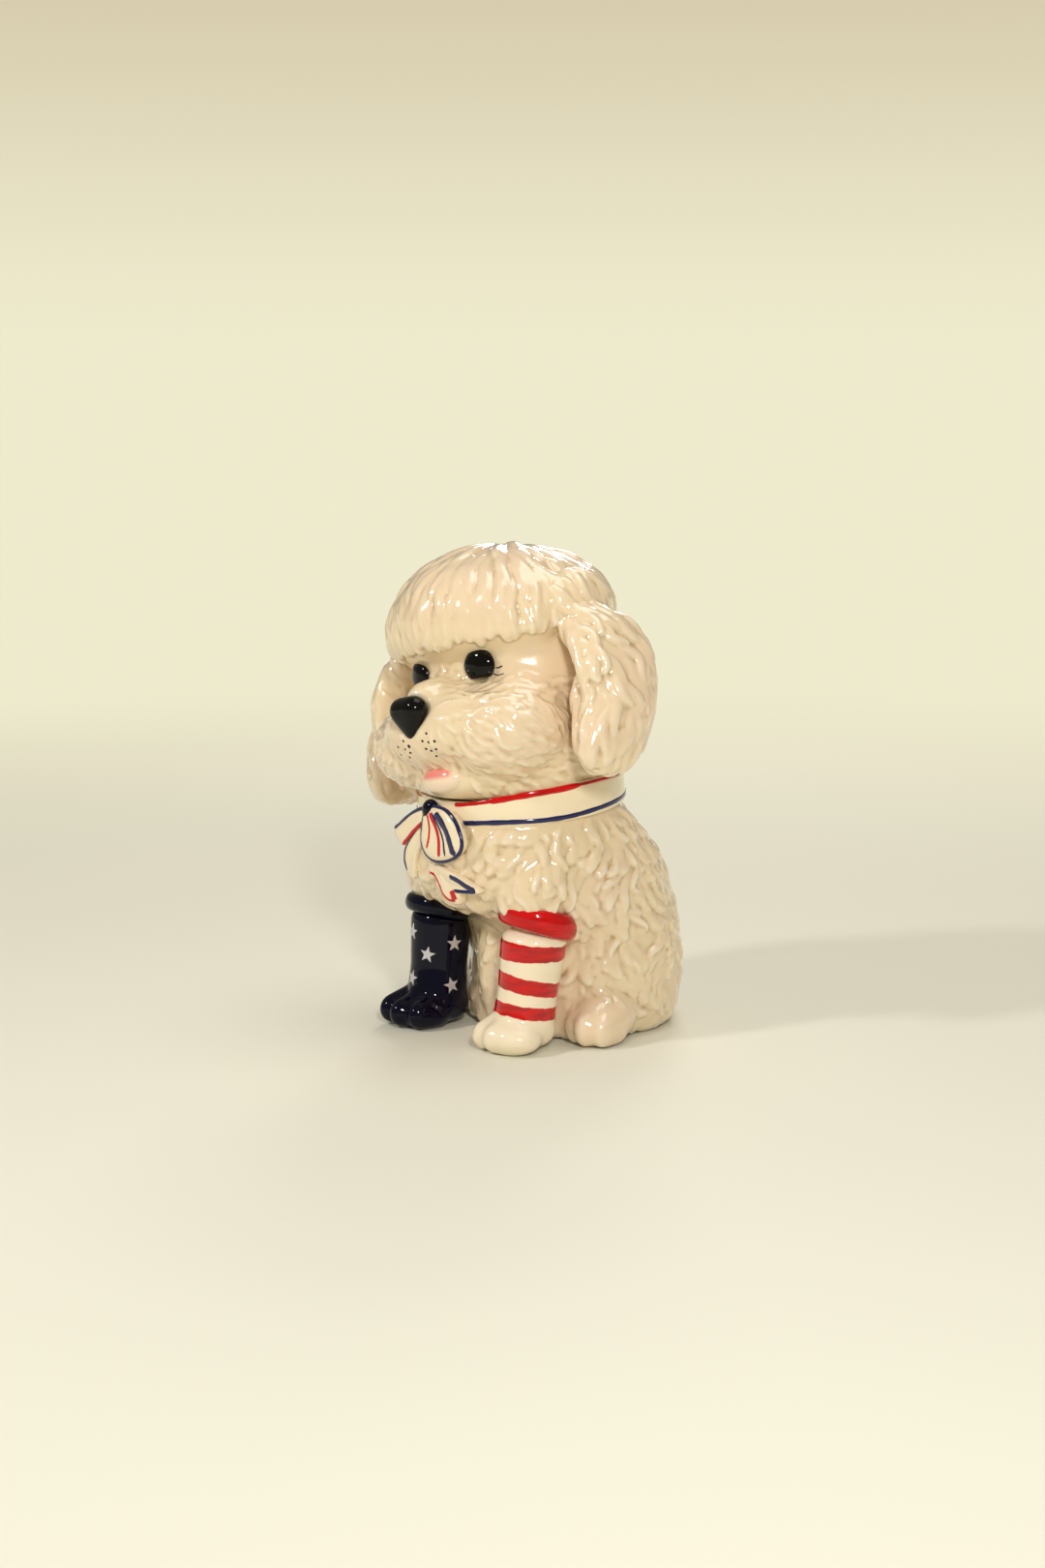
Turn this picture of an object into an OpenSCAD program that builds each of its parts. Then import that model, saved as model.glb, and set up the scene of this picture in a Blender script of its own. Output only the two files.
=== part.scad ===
// Glazed ceramic puppy, sitting, with a ribbon bow, one striped stocking and one starred boot.
// Hollow castings with pressed sprigs luted to them. Millimetres, +Z up, the dog faces -Y.

/* [Figure] */
// Thickness of the cast walls
wall = 5; // [4:0.5:6]

/* [Body] */
// Half width across the haunches
haunch_x = 58; // [54:1:62]
// Outer radius of the neck, under the ribbon
neck_r = 50.5; // [49:0.5:52]
// Height of the neck seam on the neck axis
seam_z = 130; // [127:1:133]
// Forward lean of the neck seam, in degrees
seam_tilt = 5; // [3:0.5:7]

/* [Ribbon] */
// Width of the band round the neck
band_w = 12.5; // [10:0.5:14]
// Thickness of the band
band_t = 3; // [2:0.5:4]

/* [Head] */
// How far the head leans towards the right shoulder, in degrees
head_roll = 12; // [8:1:14]
// How far the head turns to the left, in degrees
head_yaw = 5; // [0:1:8]
// Radius of an eye
eye_r = 8.5; // [7.5:0.25:9]

/* [Legs] */
// Distance between the middles of the forelegs
leg_gap = 73; // [70:1:80]
// Radius of a foreleg at its middle
leg_r = 15.5; // [14.5:0.5:16.5]
// Height of the cuffs
cuff_z = 61; // [58:1:64]

/* [Base] */
// Thickness of the base plate
plate_t = 5; // [4:0.5:8]
// Diameter of the vent hole that lets air out in the kiln
vent_d = 16; // [10:1:24]
// Distance of the vent hole behind the origin
vent_y = 24; // [16:1:34]

/* [Hidden] */

cream = "antiquewhite";
navy = "midnightblue";
red = "firebrick";
black = "black";
pink = "lightpink";
silver = "silver";

neck_y = -20;
leg_y = -43.5;
leg_x = leg_gap / 2;
head_at = [4, neck_y, seam_z];

// A stretched ball: centre, half sizes, turn, facets
module blob(at, half, turn = [0, 0, 0], fn = 20) {
    translate(at) rotate(turn) scale(half) hull() sphere(1, $fn = fn);
}

// A smooth solid through two stretched balls
module limb(a, half_a, b, half_b, fn = 20) {
    hull() {
        translate(a) scale(half_a) sphere(1, $fn = fn);
        translate(b) scale(half_b) sphere(1, $fn = fn);
    }
}

// A list of balls, each [centre, half sizes], drawn smaller by the inset
module balls(list, inset = 0, fn = 20) {
    for (b = list) blob(b[0], b[1] - [inset, inset, inset], [0, 0, 0], fn);
}

// Frame of the seam between the neck and the head
module at_seam() {
    translate([0, neck_y, seam_z]) rotate([seam_tilt, 0, 0]) children();
}

// Frame of the head
module at_head() {
    translate(head_at) rotate([0, -head_roll, head_yaw]) children();
}

// ---- torso ----

// Sections of the torso: height, middle in y, half width, half depth
sections = [
    [0, 14, haunch_x - 7, 48],
    [4, 14, haunch_x - 2, 52],
    [14, 15, haunch_x, 53],
    [30, 17, haunch_x + 1, 51.5],
    [46, 16.5, haunch_x + 1, 51.5],
    [58, 12, haunch_x + 1, 54],
    [70, -1, haunch_x + 1, 65],
    [82, -6, haunch_x + 1, 67],
    [94, -10, haunch_x - 1, 64.5],
    [104, -15, haunch_x - 3, 59.5],
    [112, -18, haunch_x - 5, 55],
    [119, -20, neck_r + 0.5, neck_r + 0.5],
    [126, -20, neck_r, neck_r],
    [145, -20, neck_r, neck_r]];

ring_n = 32;
squareness = 2.15;

function lobe(c) = sign(c) * pow(abs(c), 2 / squareness);
function ring(s, inset) =
    [for (i = [0 : ring_n - 1]) let(a = 360 * i / ring_n)
        [(s[2] - inset) * lobe(cos(a)), s[1] + (s[3] - inset) * lobe(sin(a)), s[0]]];

// A solid through rings of equal length, closed at both ends
module loft(rings) {
    n = len(rings[0]);
    m = len(rings);
    polyhedron(
        points = [for (r = rings) each r],
        faces = concat(
            [[for (i = [0 : n - 1]) i]],
            [for (j = [0 : m - 2], i = [0 : n - 1]) let(k = (i + 1) % n)
                [j * n + i, (j + 1) * n + i, (j + 1) * n + k, j * n + k]],
            [[for (i = [n - 1 : -1 : 0]) (m - 1) * n + i]]));
}

// Everything below the neck seam
module below_seam() {
    at_seam() translate([0, 0, -100]) cube([400, 400, 200], center = true);
}

// Fur masses over the loft: thighs, shoulders, the breast and the wall between the forelegs
function masses(side) = [
    [[side * 39, 15, 36], [22, 35, 34]],
    [[side * 36, -40, 81], [20, 22, 21]],
    [[side * 38, -16, 74], [20, 26, 24]]];

module torso_outer() {
    intersection() {
        union() {
            loft([for (s = sections) ring(s, 0)]);
            for (side = [-1, 1]) balls(masses(side));
            blob([0, -43, 93], [38, 34, 26]);
            blob([0, -18, 36], [21, 26, 52]);
            blob([0, 45, 40], [30, 32, 34]);
        }
        below_seam();
        translate([0, 0, 200]) cube([400, 400, 400], center = true);
    }
}

module torso() {
    inner = concat(
        [[-2, sections[0][1], sections[0][2], sections[0][3]]],
        sections,
        [[160, neck_y, neck_r, neck_r]]);
    color(cream) difference() {
        torso_outer();
        loft([for (s = inner) ring(s, wall)]);
    }
}

// ---- base ----

module base_plate() {
    s = sections[0];
    color(cream) difference() {
        linear_extrude(plate_t) polygon([for (p = ring(s, wall)) [p[0], p[1]]]);
        translate([0, vent_y, -1]) cylinder(h = plate_t + 2, d = vent_d, $fn = 48);
    }
}

// ---- hind paws and tail ----

module hind_paw(side) {
    color(cream) difference() {
        union() {
            limb([side * 51, -11, 12], [13, 14, 13], [side * 51, -3, 13], [13, 14, 13]);
            limb([side * 46, -21, 9], [6, 7, 9], [side * 46, -8, 11], [6, 9, 11], 16);
            limb([side * 54, -22, 9.5], [6.5, 7, 9.5], [side * 54, -8, 12], [6.5, 9, 12], 16);
            limb([side * 61, -17, 8.5], [5.5, 7, 8.5], [side * 60, -8, 10], [5.5, 9, 10], 16);
        }
        torso_outer();
        translate([0, 0, -50]) cube([300, 300, 100], center = true);
    }
}

module tail() {
    color(cream) difference() {
        union() {
            limb([0, 60, 18], [12, 13, 14], [10, 63, 11], [10, 9, 11]);
            limb([10, 63, 11], [10, 9, 11], [22, 61, 7], [7, 7, 7]);
            blob([-2, 62, 26], [9, 9, 9]);
        }
        torso_outer();
        translate([0, 0, -50]) cube([300, 300, 100], center = true);
    }
}

// ---- forelegs ----

// Middle of the leg at a height: the legs lean forward a little going down
function leg_mid(side, z) = [side * (leg_x - 2.5 + z / 25) + min(side, 0), leg_y - 4.5 + z / 10, z];
// Radius of the leg at a height
function leg_at(z) = leg_r - 0.5 + (z < 30 ? (30 - z) / 15 : (z - 30) / 22);

// The leg without its cuff and paw, from the paw up to the cuff
module leg_shape(side) {
    for (z = [[12, 30], [30, 55]]) hull()
        for (h = z) translate(leg_mid(side, h)) scale([leg_at(h), leg_at(h), 9]) sphere(1, $fn = 20);
}

// Toes of the boot and of the bare paw: offset from the middle of the leg
toes = [[[-13, -18.5], [-2, -20.5], [8.5, -17]], [[-9.5, -16], [0, -17], [9.5, -10]]];

module paw_shape(side) {
    m = leg_mid(side, 10);
    limb(m + [0, -4, 0], [15, 14, 10], m + [0, 4, 0], [15.5, 13, 10], 18);
    for (t = toes[side > 0 ? 1 : 0])
        limb(m + [t.x, t.y, -2], [6.2, 8.5, 8], m + [0.85 * t.x, -6, 1], [6.3, 9, 9.5], 14);
}

// The roll at the top of the stocking is fuller than the one on the boot
module cuff_shape(side) {
    translate(leg_mid(side, cuff_z + 1.5 + 1.5 * side) + [0.5, side + 1, 0]) rotate([-13, 0, 0])
        rotate_extrude($fn = 32) translate([leg_r + 0.5, 0]) scale([1, 1.35])
            circle(side > 0 ? 4.7 : 3.8, $fn = 12);
}

module foreleg(side) {
    color(side > 0 ? cream : navy) difference() {
        leg_shape(side);
        torso_outer();
        paw_shape(side);
        cuff_shape(side);
        translate([0, 0, -50]) cube([300, 300, 100], center = true);
    }
}

module forepaw(side) {
    color(side > 0 ? cream : navy) difference() {
        paw_shape(side);
        torso_outer();
        translate([0, 0, -50]) cube([300, 300, 100], center = true);
    }
}

module cuff(side) {
    color(side > 0 ? red : navy) difference() {
        cuff_shape(side);
        torso_outer();
    }
}

// ---- ribbon ----

module ribbon_collar() {
    color(cream) at_seam() translate([0, 0, -band_w]) difference() {
        cylinder(h = band_w, r = neck_r + band_t, $fn = 64);
        translate([0, 0, -1]) cylinder(h = band_w + 2, r = neck_r, $fn = 64);
    }
}

knot_at = [-2, neck_y - neck_r - band_t - 3, 120];

module knot_shape() {
    blob(knot_at, [5, 4, 5.5], [0, 10, 0]);
}

module bow_knot() {
    color(navy) difference() {
        knot_shape();
        torso_outer();
    }
}

// One loop of the bow, a thick teardrop that lies on the breast
module loop_shape(side) {
    k = knot_at;
    hull() {
        translate(k + [side * 2, 0, -3]) sphere(2.5, $fn = 16);
        translate([side * 4, neck_y - 57, 98]) scale([5, 4, 6]) sphere(1, $fn = 20);
        translate([side * 15, neck_y - 55, 101]) scale([6, 4, 7]) sphere(1, $fn = 20);
    }
}

module bow_loop(side) {
    color(cream) difference() {
        loop_shape(side);
        knot_shape();
        torso_outer();
    }
}

module tail_shape(side) {
    limb([side * 9, neck_y - 57, 94], [6, 3, 5], [side * 14, neck_y - 56, 88], [8, 3, 6]);
    limb([side * 14, neck_y - 56, 88], [8, 3, 6], [side * 23, neck_y - 50, 82], [8, 3, 6]);
}

module ribbon_tail(side) {
    color(cream) difference() {
        tail_shape(side);
        loop_shape(side);
        knot_shape();
        torso_outer();
    }
}

// ---- head, drawn in its own frame ----

skull = [
    [[0, 8, 58], [56, 53, 57]],
    [[-2, 0, 84], [53, 47, 33]],
    [[0, 2, 22], [54, 54, 32]],
    [[0, -8, 15], [53, 49, 25]],
    [[0, -38, 31], [42, 38, 23]]];
cheeks = [for (side = [-1, 1]) [[side * 27, -33, 25], [30, 33, 25]]];
chin = [[[0, -46, 6], [22, 15, 13]], [[0, -30, 4], [36, 30, 14]]];
bridge = [[[0, -52, 47], [12, 20, 11]]];

module head_outer() {
    balls(concat(skull, cheeks, chin, bridge), 0, 22);
}

module forelock_shape() {
    difference() {
        union() {
            blob([-2, -2, 80], [60, 54, 42], [0, 0, 0], 24);
            blob([0, -14, 84], [46, 44, 34]);
            blob([0, 12, 82], [53, 48, 37]);
        }
        translate([0, 0, -25.5]) rotate([4, 3, 0]) cube([300, 300, 200], center = true);
    }
}

// Balls down the middle of an ear, from its root to its tip
lobes = [
    [[57, 0, 74], [11, 15, 9]],
    [[66, 2, 64], [11, 25, 12]],
    [[72, 2, 50], [11, 27, 12]],
    [[75, 1, 37], [10, 23, 11]],
    [[75, -6, 22], [10, 23, 11]],
    [[73, -11, 9], [9, 20, 14]]];

// The right ear hangs a little further out and forward
function ear_set(side, z) = side > 0 || z > 70 ? [0, 0, 0] : [-3, z > 60 ? -3 : -6, 0];

module ear_shape(side) {
    for (i = [0 : len(lobes) - 2]) hull()
        for (l = [lobes[i], lobes[i + 1]])
            translate([l[0].x * side, l[0].y, l[0].z] + ear_set(side, l[0].z)) scale(l[1])
                sphere(1, $fn = 18);
    limb([side * 62, -4, 32], [8, 16, 18], [side * 66, -11, 14], [9, 14, 14], 16);
}

module eye_shape(side) {
    translate([side * 22, -42, 59.5]) rotate([0, 0, side * 18]) scale([1, 0.5, 1])
        hull() sphere(eye_r, $fn = 24);
}

module nose_shape() {
    hull() {
        for (side = [-1, 1]) translate([side * 4.2, -72, 42.5]) sphere(7.2, $fn = 18);
        translate([0, -70.5, 32]) sphere(5.2, $fn = 18);
    }
}

module head() {
    color(cream) difference() {
        union() {
            at_head() head_outer();
            at_seam() translate([0, 0, -1]) cylinder(h = 30, r1 = neck_r, r2 = neck_r + 2, $fn = 48);
        }
        at_head() {
            balls(concat(skull, cheeks), wall, 16);
            nose_shape();
            for (side = [-1, 1]) eye_shape(side);
        }
        at_seam() translate([0, 0, -2]) cylinder(h = 34, r = neck_r - wall, $fn = 48);
        below_seam();
    }
}

module forelock() {
    color(cream) at_head() difference() {
        forelock_shape();
        head_outer();
    }
}

module ear(side) {
    color(cream) at_head() difference() {
        ear_shape(side);
        head_outer();
        forelock_shape();
    }
}

module nose() {
    color(black) at_head() nose_shape();
}

module eye(side) {
    color(black) at_head() eye_shape(side);
}

module lower_lip() {
    color(pink) at_head() difference() {
        blob([0, -54, 7], [13, 9, 7]);
        head_outer();
    }
}

// Stars on the boot: bearing from the front, height
stars = [[-15, 49], [81, 44], [27, 38.5], [-11, 25], [79, 22.5], [-52, 37], [-86, 48], [-84, 26]];
star_r = 4.5;

module star() {
    polygon([for (i = [0 : 9]) let(r = i % 2 == 0 ? star_r : star_r * 0.4, a = 36 * i)
        [r * sin(a), r * cos(a)]]);
}

module star_decals() {
    color(silver) difference() {
        for (s = stars)
            translate(leg_mid(-1, s[1])) rotate([0, 0, s[0]])
                translate([0, 1.4 - leg_at(s[1]), 0]) rotate([90, 0, 0])
                    linear_extrude(2.2) star();
        leg_shape(-1);
        torso_outer();
    }
}

base_plate();
torso();
hind_paw(1);  // hind_paw_left
hind_paw(-1);  // hind_paw_right
tail();
foreleg(1);  // foreleg_left
cuff(1);  // sock_cuff
forepaw(1);  // forepaw_left
foreleg(-1);  // foreleg_right
cuff(-1);  // boot_cuff
forepaw(-1);  // forepaw_right
ribbon_collar();
bow_knot();
bow_loop(1);  // bow_loop_left
bow_loop(-1);  // bow_loop_right
ribbon_tail(1);  // ribbon_tail_left
ribbon_tail(-1);  // ribbon_tail_right
head();
forelock();
ear(1);  // ear_left
ear(-1);  // ear_right
nose();
eye(1);  // eye_left
eye(-1);  // eye_right
lower_lip();
star_decals();
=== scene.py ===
"""Glazed ceramic puppy: the visual model, its glazes, a pale studio and the camera.

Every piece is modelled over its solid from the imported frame. The curly coat is built of real locks, small tapered
bodies that follow the surface, which are fused with the casting and softened the way a thick glaze softens clay.
"""

import logging
import math
import random
from dataclasses import dataclass, field
from enum import Enum
from typing import Callable, Iterable, Optional, Sequence, Union

import bmesh
import bpy
import numpy as np
from mathutils import Matrix, Vector, noise
from mathutils.bvhtree import BVHTree


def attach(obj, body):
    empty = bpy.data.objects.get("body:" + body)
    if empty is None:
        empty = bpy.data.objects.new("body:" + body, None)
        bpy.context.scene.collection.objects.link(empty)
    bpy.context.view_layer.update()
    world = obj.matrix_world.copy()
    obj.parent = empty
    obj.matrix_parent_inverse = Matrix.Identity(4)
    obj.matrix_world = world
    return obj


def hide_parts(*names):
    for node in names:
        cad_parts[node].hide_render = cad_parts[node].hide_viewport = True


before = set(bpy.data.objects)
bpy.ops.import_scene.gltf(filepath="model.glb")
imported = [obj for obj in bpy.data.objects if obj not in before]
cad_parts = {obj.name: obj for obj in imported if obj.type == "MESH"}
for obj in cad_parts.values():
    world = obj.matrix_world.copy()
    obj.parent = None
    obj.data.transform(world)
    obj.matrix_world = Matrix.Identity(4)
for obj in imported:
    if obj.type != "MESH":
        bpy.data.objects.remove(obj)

logging.basicConfig(level=logging.INFO, format="%(levelname)s %(message)s")
LOG = logging.getLogger("puppy")

MM = 0.001
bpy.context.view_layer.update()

Flow = Callable[[Vector, Vector], Vector]
Mask = Callable[[Vector, Vector], float]


class Slot(str, Enum):
    """Material slots of the record."""

    CREAM = "cream_glaze"
    STOCKING = "stocking_glaze"
    RIBBON = "ribbon_glaze"
    NAVY = "navy_glaze"
    RED = "red_glaze"
    BLACK = "black_glaze"
    PINK = "pink_glaze"
    SILVER = "silver_lustre"


class Side(int, Enum):
    """The puppy's own right and left."""

    RIGHT = -1
    LEFT = 1


# ---------------------------------------------------------------------------------------------------------------
# Frames of the head and the neck seam
# ---------------------------------------------------------------------------------------------------------------

NECK_Y = -20.0
SEAM_Z = 130.0
BAND_R = 53.5
BAND_W = 12.5
LEG_X = 36.5
LEG_Y = -43.5
LEFT_BACK = (0.64, 0.77)


def turned(place: Sequence[float], x: float = 0.0, y: float = 0.0, z: float = 0.0) -> Matrix:
    """A frame in millimetres turned about x, then y, then z.

    Args:
        place: The frame's origin in millimetres.
        x: Turn about x in degrees.
        y: Turn about y in degrees.
        z: Turn about z in degrees.

    Returns:
        The matrix from the frame to the row frame, in millimetres.
    """
    turn = Matrix.Rotation(math.radians(z), 4, "Z") @ Matrix.Rotation(math.radians(y), 4, "Y")
    return Matrix.Translation(Vector(place)) @ turn @ Matrix.Rotation(math.radians(x), 4, "X")


HEAD = turned((4.0, NECK_Y, SEAM_Z), y=-12.0, z=5.0)
HEAD_BACK = HEAD.inverted()
SEAM = turned((0.0, NECK_Y, SEAM_Z), x=5.0)
SEAM_BACK = SEAM.inverted()


def leg_mid(side: int, height: float) -> Vector:
    """The middle of a foreleg.

    Args:
        side: -1 for the right leg and 1 for the left one.
        height: Height in millimetres.

    Returns:
        The place in millimetres.
    """
    return Vector((side * (LEG_X - 2.5 + height / 25.0) + min(side, 0), LEG_Y - 4.5 + height / 10.0, height))


# ---------------------------------------------------------------------------------------------------------------
# Shader expressions
# ---------------------------------------------------------------------------------------------------------------

Number = Union[int, float]


class Socket:
    """A value inside a node tree, with arithmetic that adds Math nodes."""

    def __init__(self, graph: "Graph", socket: bpy.types.NodeSocket) -> None:
        """Wraps an output socket.

        Args:
            graph: The graph the socket lives in.
            socket: The output socket.
        """
        self.graph = graph
        self.socket = socket

    def _math(self, operation: str, *others: Union["Socket", Number], first: Optional[Number] = None,
              clamp: bool = False) -> "Socket":
        """Adds a Math node.

        Args:
            operation: The Math node's operation.
            others: Further operands.
            first: A plain number that goes before this value, for reflected forms.
            clamp: Whether the result is held between 0 and 1.

        Returns:
            The result.
        """
        operands: list = [self, *others] if first is None else [first, self, *others]
        inputs = {index: operand for index, operand in enumerate(operands)}
        return self.graph.node("ShaderNodeMath", {"operation": operation, "use_clamp": clamp}, inputs)

    def __add__(self, other: Union["Socket", Number]) -> "Socket":
        return self._math("ADD", other)

    def __radd__(self, other: Number) -> "Socket":
        return self._math("ADD", other)

    def __sub__(self, other: Union["Socket", Number]) -> "Socket":
        return self._math("SUBTRACT", other)

    def __rsub__(self, other: Number) -> "Socket":
        return self._math("SUBTRACT", first=other)

    def __mul__(self, other: Union["Socket", Number]) -> "Socket":
        return self._math("MULTIPLY", other)

    def __rmul__(self, other: Number) -> "Socket":
        return self._math("MULTIPLY", other)

    def __truediv__(self, other: Union["Socket", Number]) -> "Socket":
        return self._math("DIVIDE", other)

    def __rtruediv__(self, other: Number) -> "Socket":
        return self._math("DIVIDE", first=other)

    def __pow__(self, other: Union["Socket", Number]) -> "Socket":
        return self._math("POWER", other)

    def __neg__(self) -> "Socket":
        return self._math("MULTIPLY", -1.0)

    def __abs__(self) -> "Socket":
        return self._math("ABSOLUTE")

    def clamped(self) -> "Socket":
        """Holds the value between 0 and 1.

        Returns:
            The held value.
        """
        return self._math("ADD", 0.0, clamp=True)

    def step(self, low: Number, high: Number) -> "Socket":
        """Rises smoothly from 0 at low to 1 at high.

        Args:
            low: Where the rise starts.
            high: Where the rise ends; below low, the value falls instead.

        Returns:
            The smooth step.
        """
        return self.graph.node(
            "ShaderNodeMapRange", {"interpolation_type": "SMOOTHSTEP"},
            {"Value": self, "From Min": low, "From Max": high, "To Min": 0.0, "To Max": 1.0}, output="Result")


Input = Union[Socket, Number, Sequence[float], str]


class Graph:
    """Builds one material's node tree."""

    def __init__(self, tree: bpy.types.NodeTree) -> None:
        """Clears the tree.

        Args:
            tree: The material's node tree.
        """
        self.tree = tree
        self.tree.nodes.clear()

    def node(self, kind: str, settings: Optional[dict] = None, inputs: Optional[dict] = None,
             output: Union[str, int] = 0) -> Socket:
        """Adds any node.

        Args:
            kind: The node's type name.
            settings: Attributes to set on the node.
            inputs: Socket values or links, by name or index.
            output: Which output to return.

        Returns:
            The chosen output as an expression.
        """
        made = self.tree.nodes.new(kind)
        for name, value in (settings or {}).items():
            setattr(made, name, value)
        for key, value in (inputs or {}).items():
            target = made.inputs[key]
            if isinstance(value, Socket):
                self.tree.links.new(value.socket, target)
            elif isinstance(value, (int, float)):
                target.default_value = value
            else:
                values = tuple(value)
                target.default_value = values if len(values) == len(target.default_value) else (*values, 1.0)
        return Socket(self, made.outputs[output])

    def place(self) -> Socket:
        """The object coordinate, in metres.

        Returns:
            The coordinate vector.
        """
        return self.node("ShaderNodeTexCoord", output="Object")

    def axes(self) -> tuple[Socket, Socket, Socket]:
        """The object coordinate's parts, in millimetres.

        Returns:
            x, y and z.
        """
        scaled = self.node("ShaderNodeVectorMath", {"operation": "SCALE"}, {0: self.place(), "Scale": 1.0 / MM})
        made = self.node("ShaderNodeSeparateXYZ", inputs={0: scaled})
        outputs = made.socket.node.outputs
        return Socket(self, outputs[0]), Socket(self, outputs[1]), Socket(self, outputs[2])

    def along(self, frame_back: Matrix, axis: int) -> Socket:
        """One coordinate in a turned frame, in millimetres.

        Args:
            frame_back: The matrix into that frame.
            axis: The coordinate's number.

        Returns:
            The coordinate.
        """
        row = frame_back[axis]
        dot = self.node("ShaderNodeVectorMath", {"operation": "DOT_PRODUCT"},
                        {0: self.place(), 1: tuple(row[i] / MM for i in range(3))}, output="Value")
        return dot + row[3]

    def finish(self, shader: Socket) -> None:
        """Links the shader to the material's output.

        Args:
            shader: The shader.
        """
        target = self.tree.nodes.new("ShaderNodeOutputMaterial")
        self.tree.links.new(shader.socket, target.inputs[0])

    def attribute(self, name: str) -> Socket:
        """A point attribute as a number.

        Args:
            name: The attribute's name.

        Returns:
            Its value.
        """
        return self.node("ShaderNodeAttribute", {"attribute_name": name}, output="Fac")

    def noise(self, scale: float, detail: float = 2.0, stretch: Sequence[float] = (1.0, 1.0, 1.0)) -> Socket:
        """Smooth noise over the object coordinate.

        Args:
            scale: Features per metre.
            detail: Octaves.
            stretch: Scale of each axis.

        Returns:
            A value around 0.5.
        """
        place = self.node("ShaderNodeMapping", inputs={"Vector": self.place(), "Scale": stretch})
        return self.node("ShaderNodeTexNoise", inputs={"Vector": place, "Scale": scale, "Detail": detail},
                         output="Fac")

    def mix(self, amount: Union[Socket, Number], low: Input, high: Input) -> Socket:
        """Mixes two colours.

        Args:
            amount: 0 for the first colour and 1 for the second.
            low: The first colour.
            high: The second colour.

        Returns:
            The mixed colour.
        """
        return self.node("ShaderNodeMix", {"data_type": "RGBA"}, {0: amount, 6: low, 7: high}, output=2)


@dataclass(frozen=True)
class Glaze:
    """A fired glaze: a colour under a hard clear gloss."""

    name: str
    colour: tuple[float, float, float]
    roughness: float = 0.16
    coat: float = 1.0
    coat_roughness: float = 0.035
    metallic: float = 0.0
    bump: float = 0.0
    index: float = 1.45

    def colour_of(self, graph: Graph) -> Optional[Socket]:
        """The varying colour, if the glaze has one.

        Args:
            graph: The material's graph.

        Returns:
            A colour expression, or None for a plain colour.
        """
        return None

    def build(self) -> bpy.types.Material:
        """Makes the material.

        Returns:
            The material.
        """
        material = bpy.data.materials.new(self.name)
        material.use_nodes = True
        graph = Graph(material.node_tree)
        colour = self.colour_of(graph)
        inputs: dict = {
            "Base Color": colour if colour is not None else self.colour,
            "Roughness": self.roughness,
            "Metallic": self.metallic,
            "IOR": self.index,
            "Coat Weight": self.coat,
            "Coat Roughness": self.coat_roughness,
            "Coat IOR": 1.5,
        }
        if self.bump > 0.0:
            inputs["Normal"] = graph.node(
                "ShaderNodeBump", inputs={"Strength": 0.25, "Distance": self.bump * MM, "Height": graph.noise(160.0)})
        shader = graph.node("ShaderNodeBsdfPrincipled", inputs=inputs)
        graph.finish(shader)
        LOG.info("glaze %s", self.name)
        return material


@dataclass(frozen=True)
class CoatGlaze(Glaze):
    """Ivory glaze, darker tan in the hollows from staining and painted shade, paler on the crests from thinner glaze
    and painted highlight.
    """

    # Tan in the hollows: staining gathered there, and painted shade.
    hollow: tuple[float, float, float] = (0.5, 0.34, 0.17)
    blush: tuple[float, float, float] = (0.8, 0.61, 0.45)
    # Pale cream on the crests: thinner glaze, and painted highlight.
    crest: tuple[float, float, float] = (0.88, 0.81, 0.66)

    def colour_of(self, graph: Graph) -> Optional[Socket]:
        """Cream with tan hollows of staining and painted shade, pale crests of thinner glaze and painted highlight,
        and a drifting blush.

        Args:
            graph: The material's graph.

        Returns:
            The colour.
        """
        cavity = graph.attribute("cavity")
        drift = graph.noise(14.0, 1.0)
        fine = graph.noise(90.0, 2.0)
        body = graph.mix(drift.step(0.42, 0.66) * 0.45, self.colour, self.blush)
        # Crests paled: thinner glaze and painted highlight.
        body = graph.mix(cavity.step(-0.1, -0.9) * 0.65, body, self.crest)
        # Hollows tanned: staining gathered there and painted shade.
        stain_and_shade = cavity.step(0.08, 1.0) * (0.55 + 0.6 * fine)
        return graph.mix(stain_and_shade.clamped(), body, self.hollow)


@dataclass(frozen=True)
class RedGlaze(Glaze):
    """Red brushed on by hand, streaked where the brush ran dry."""

    def colour_of(self, graph: Graph) -> Optional[Socket]:
        """Red with darker streaks along the brush.

        Args:
            graph: The material's graph.

        Returns:
            The colour.
        """
        return graph.mix(graph.noise(70.0, 3.0, (1.0, 1.0, 5.0)).step(0.4, 0.65), self.colour, (0.46, 0.002, 0.003))


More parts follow.
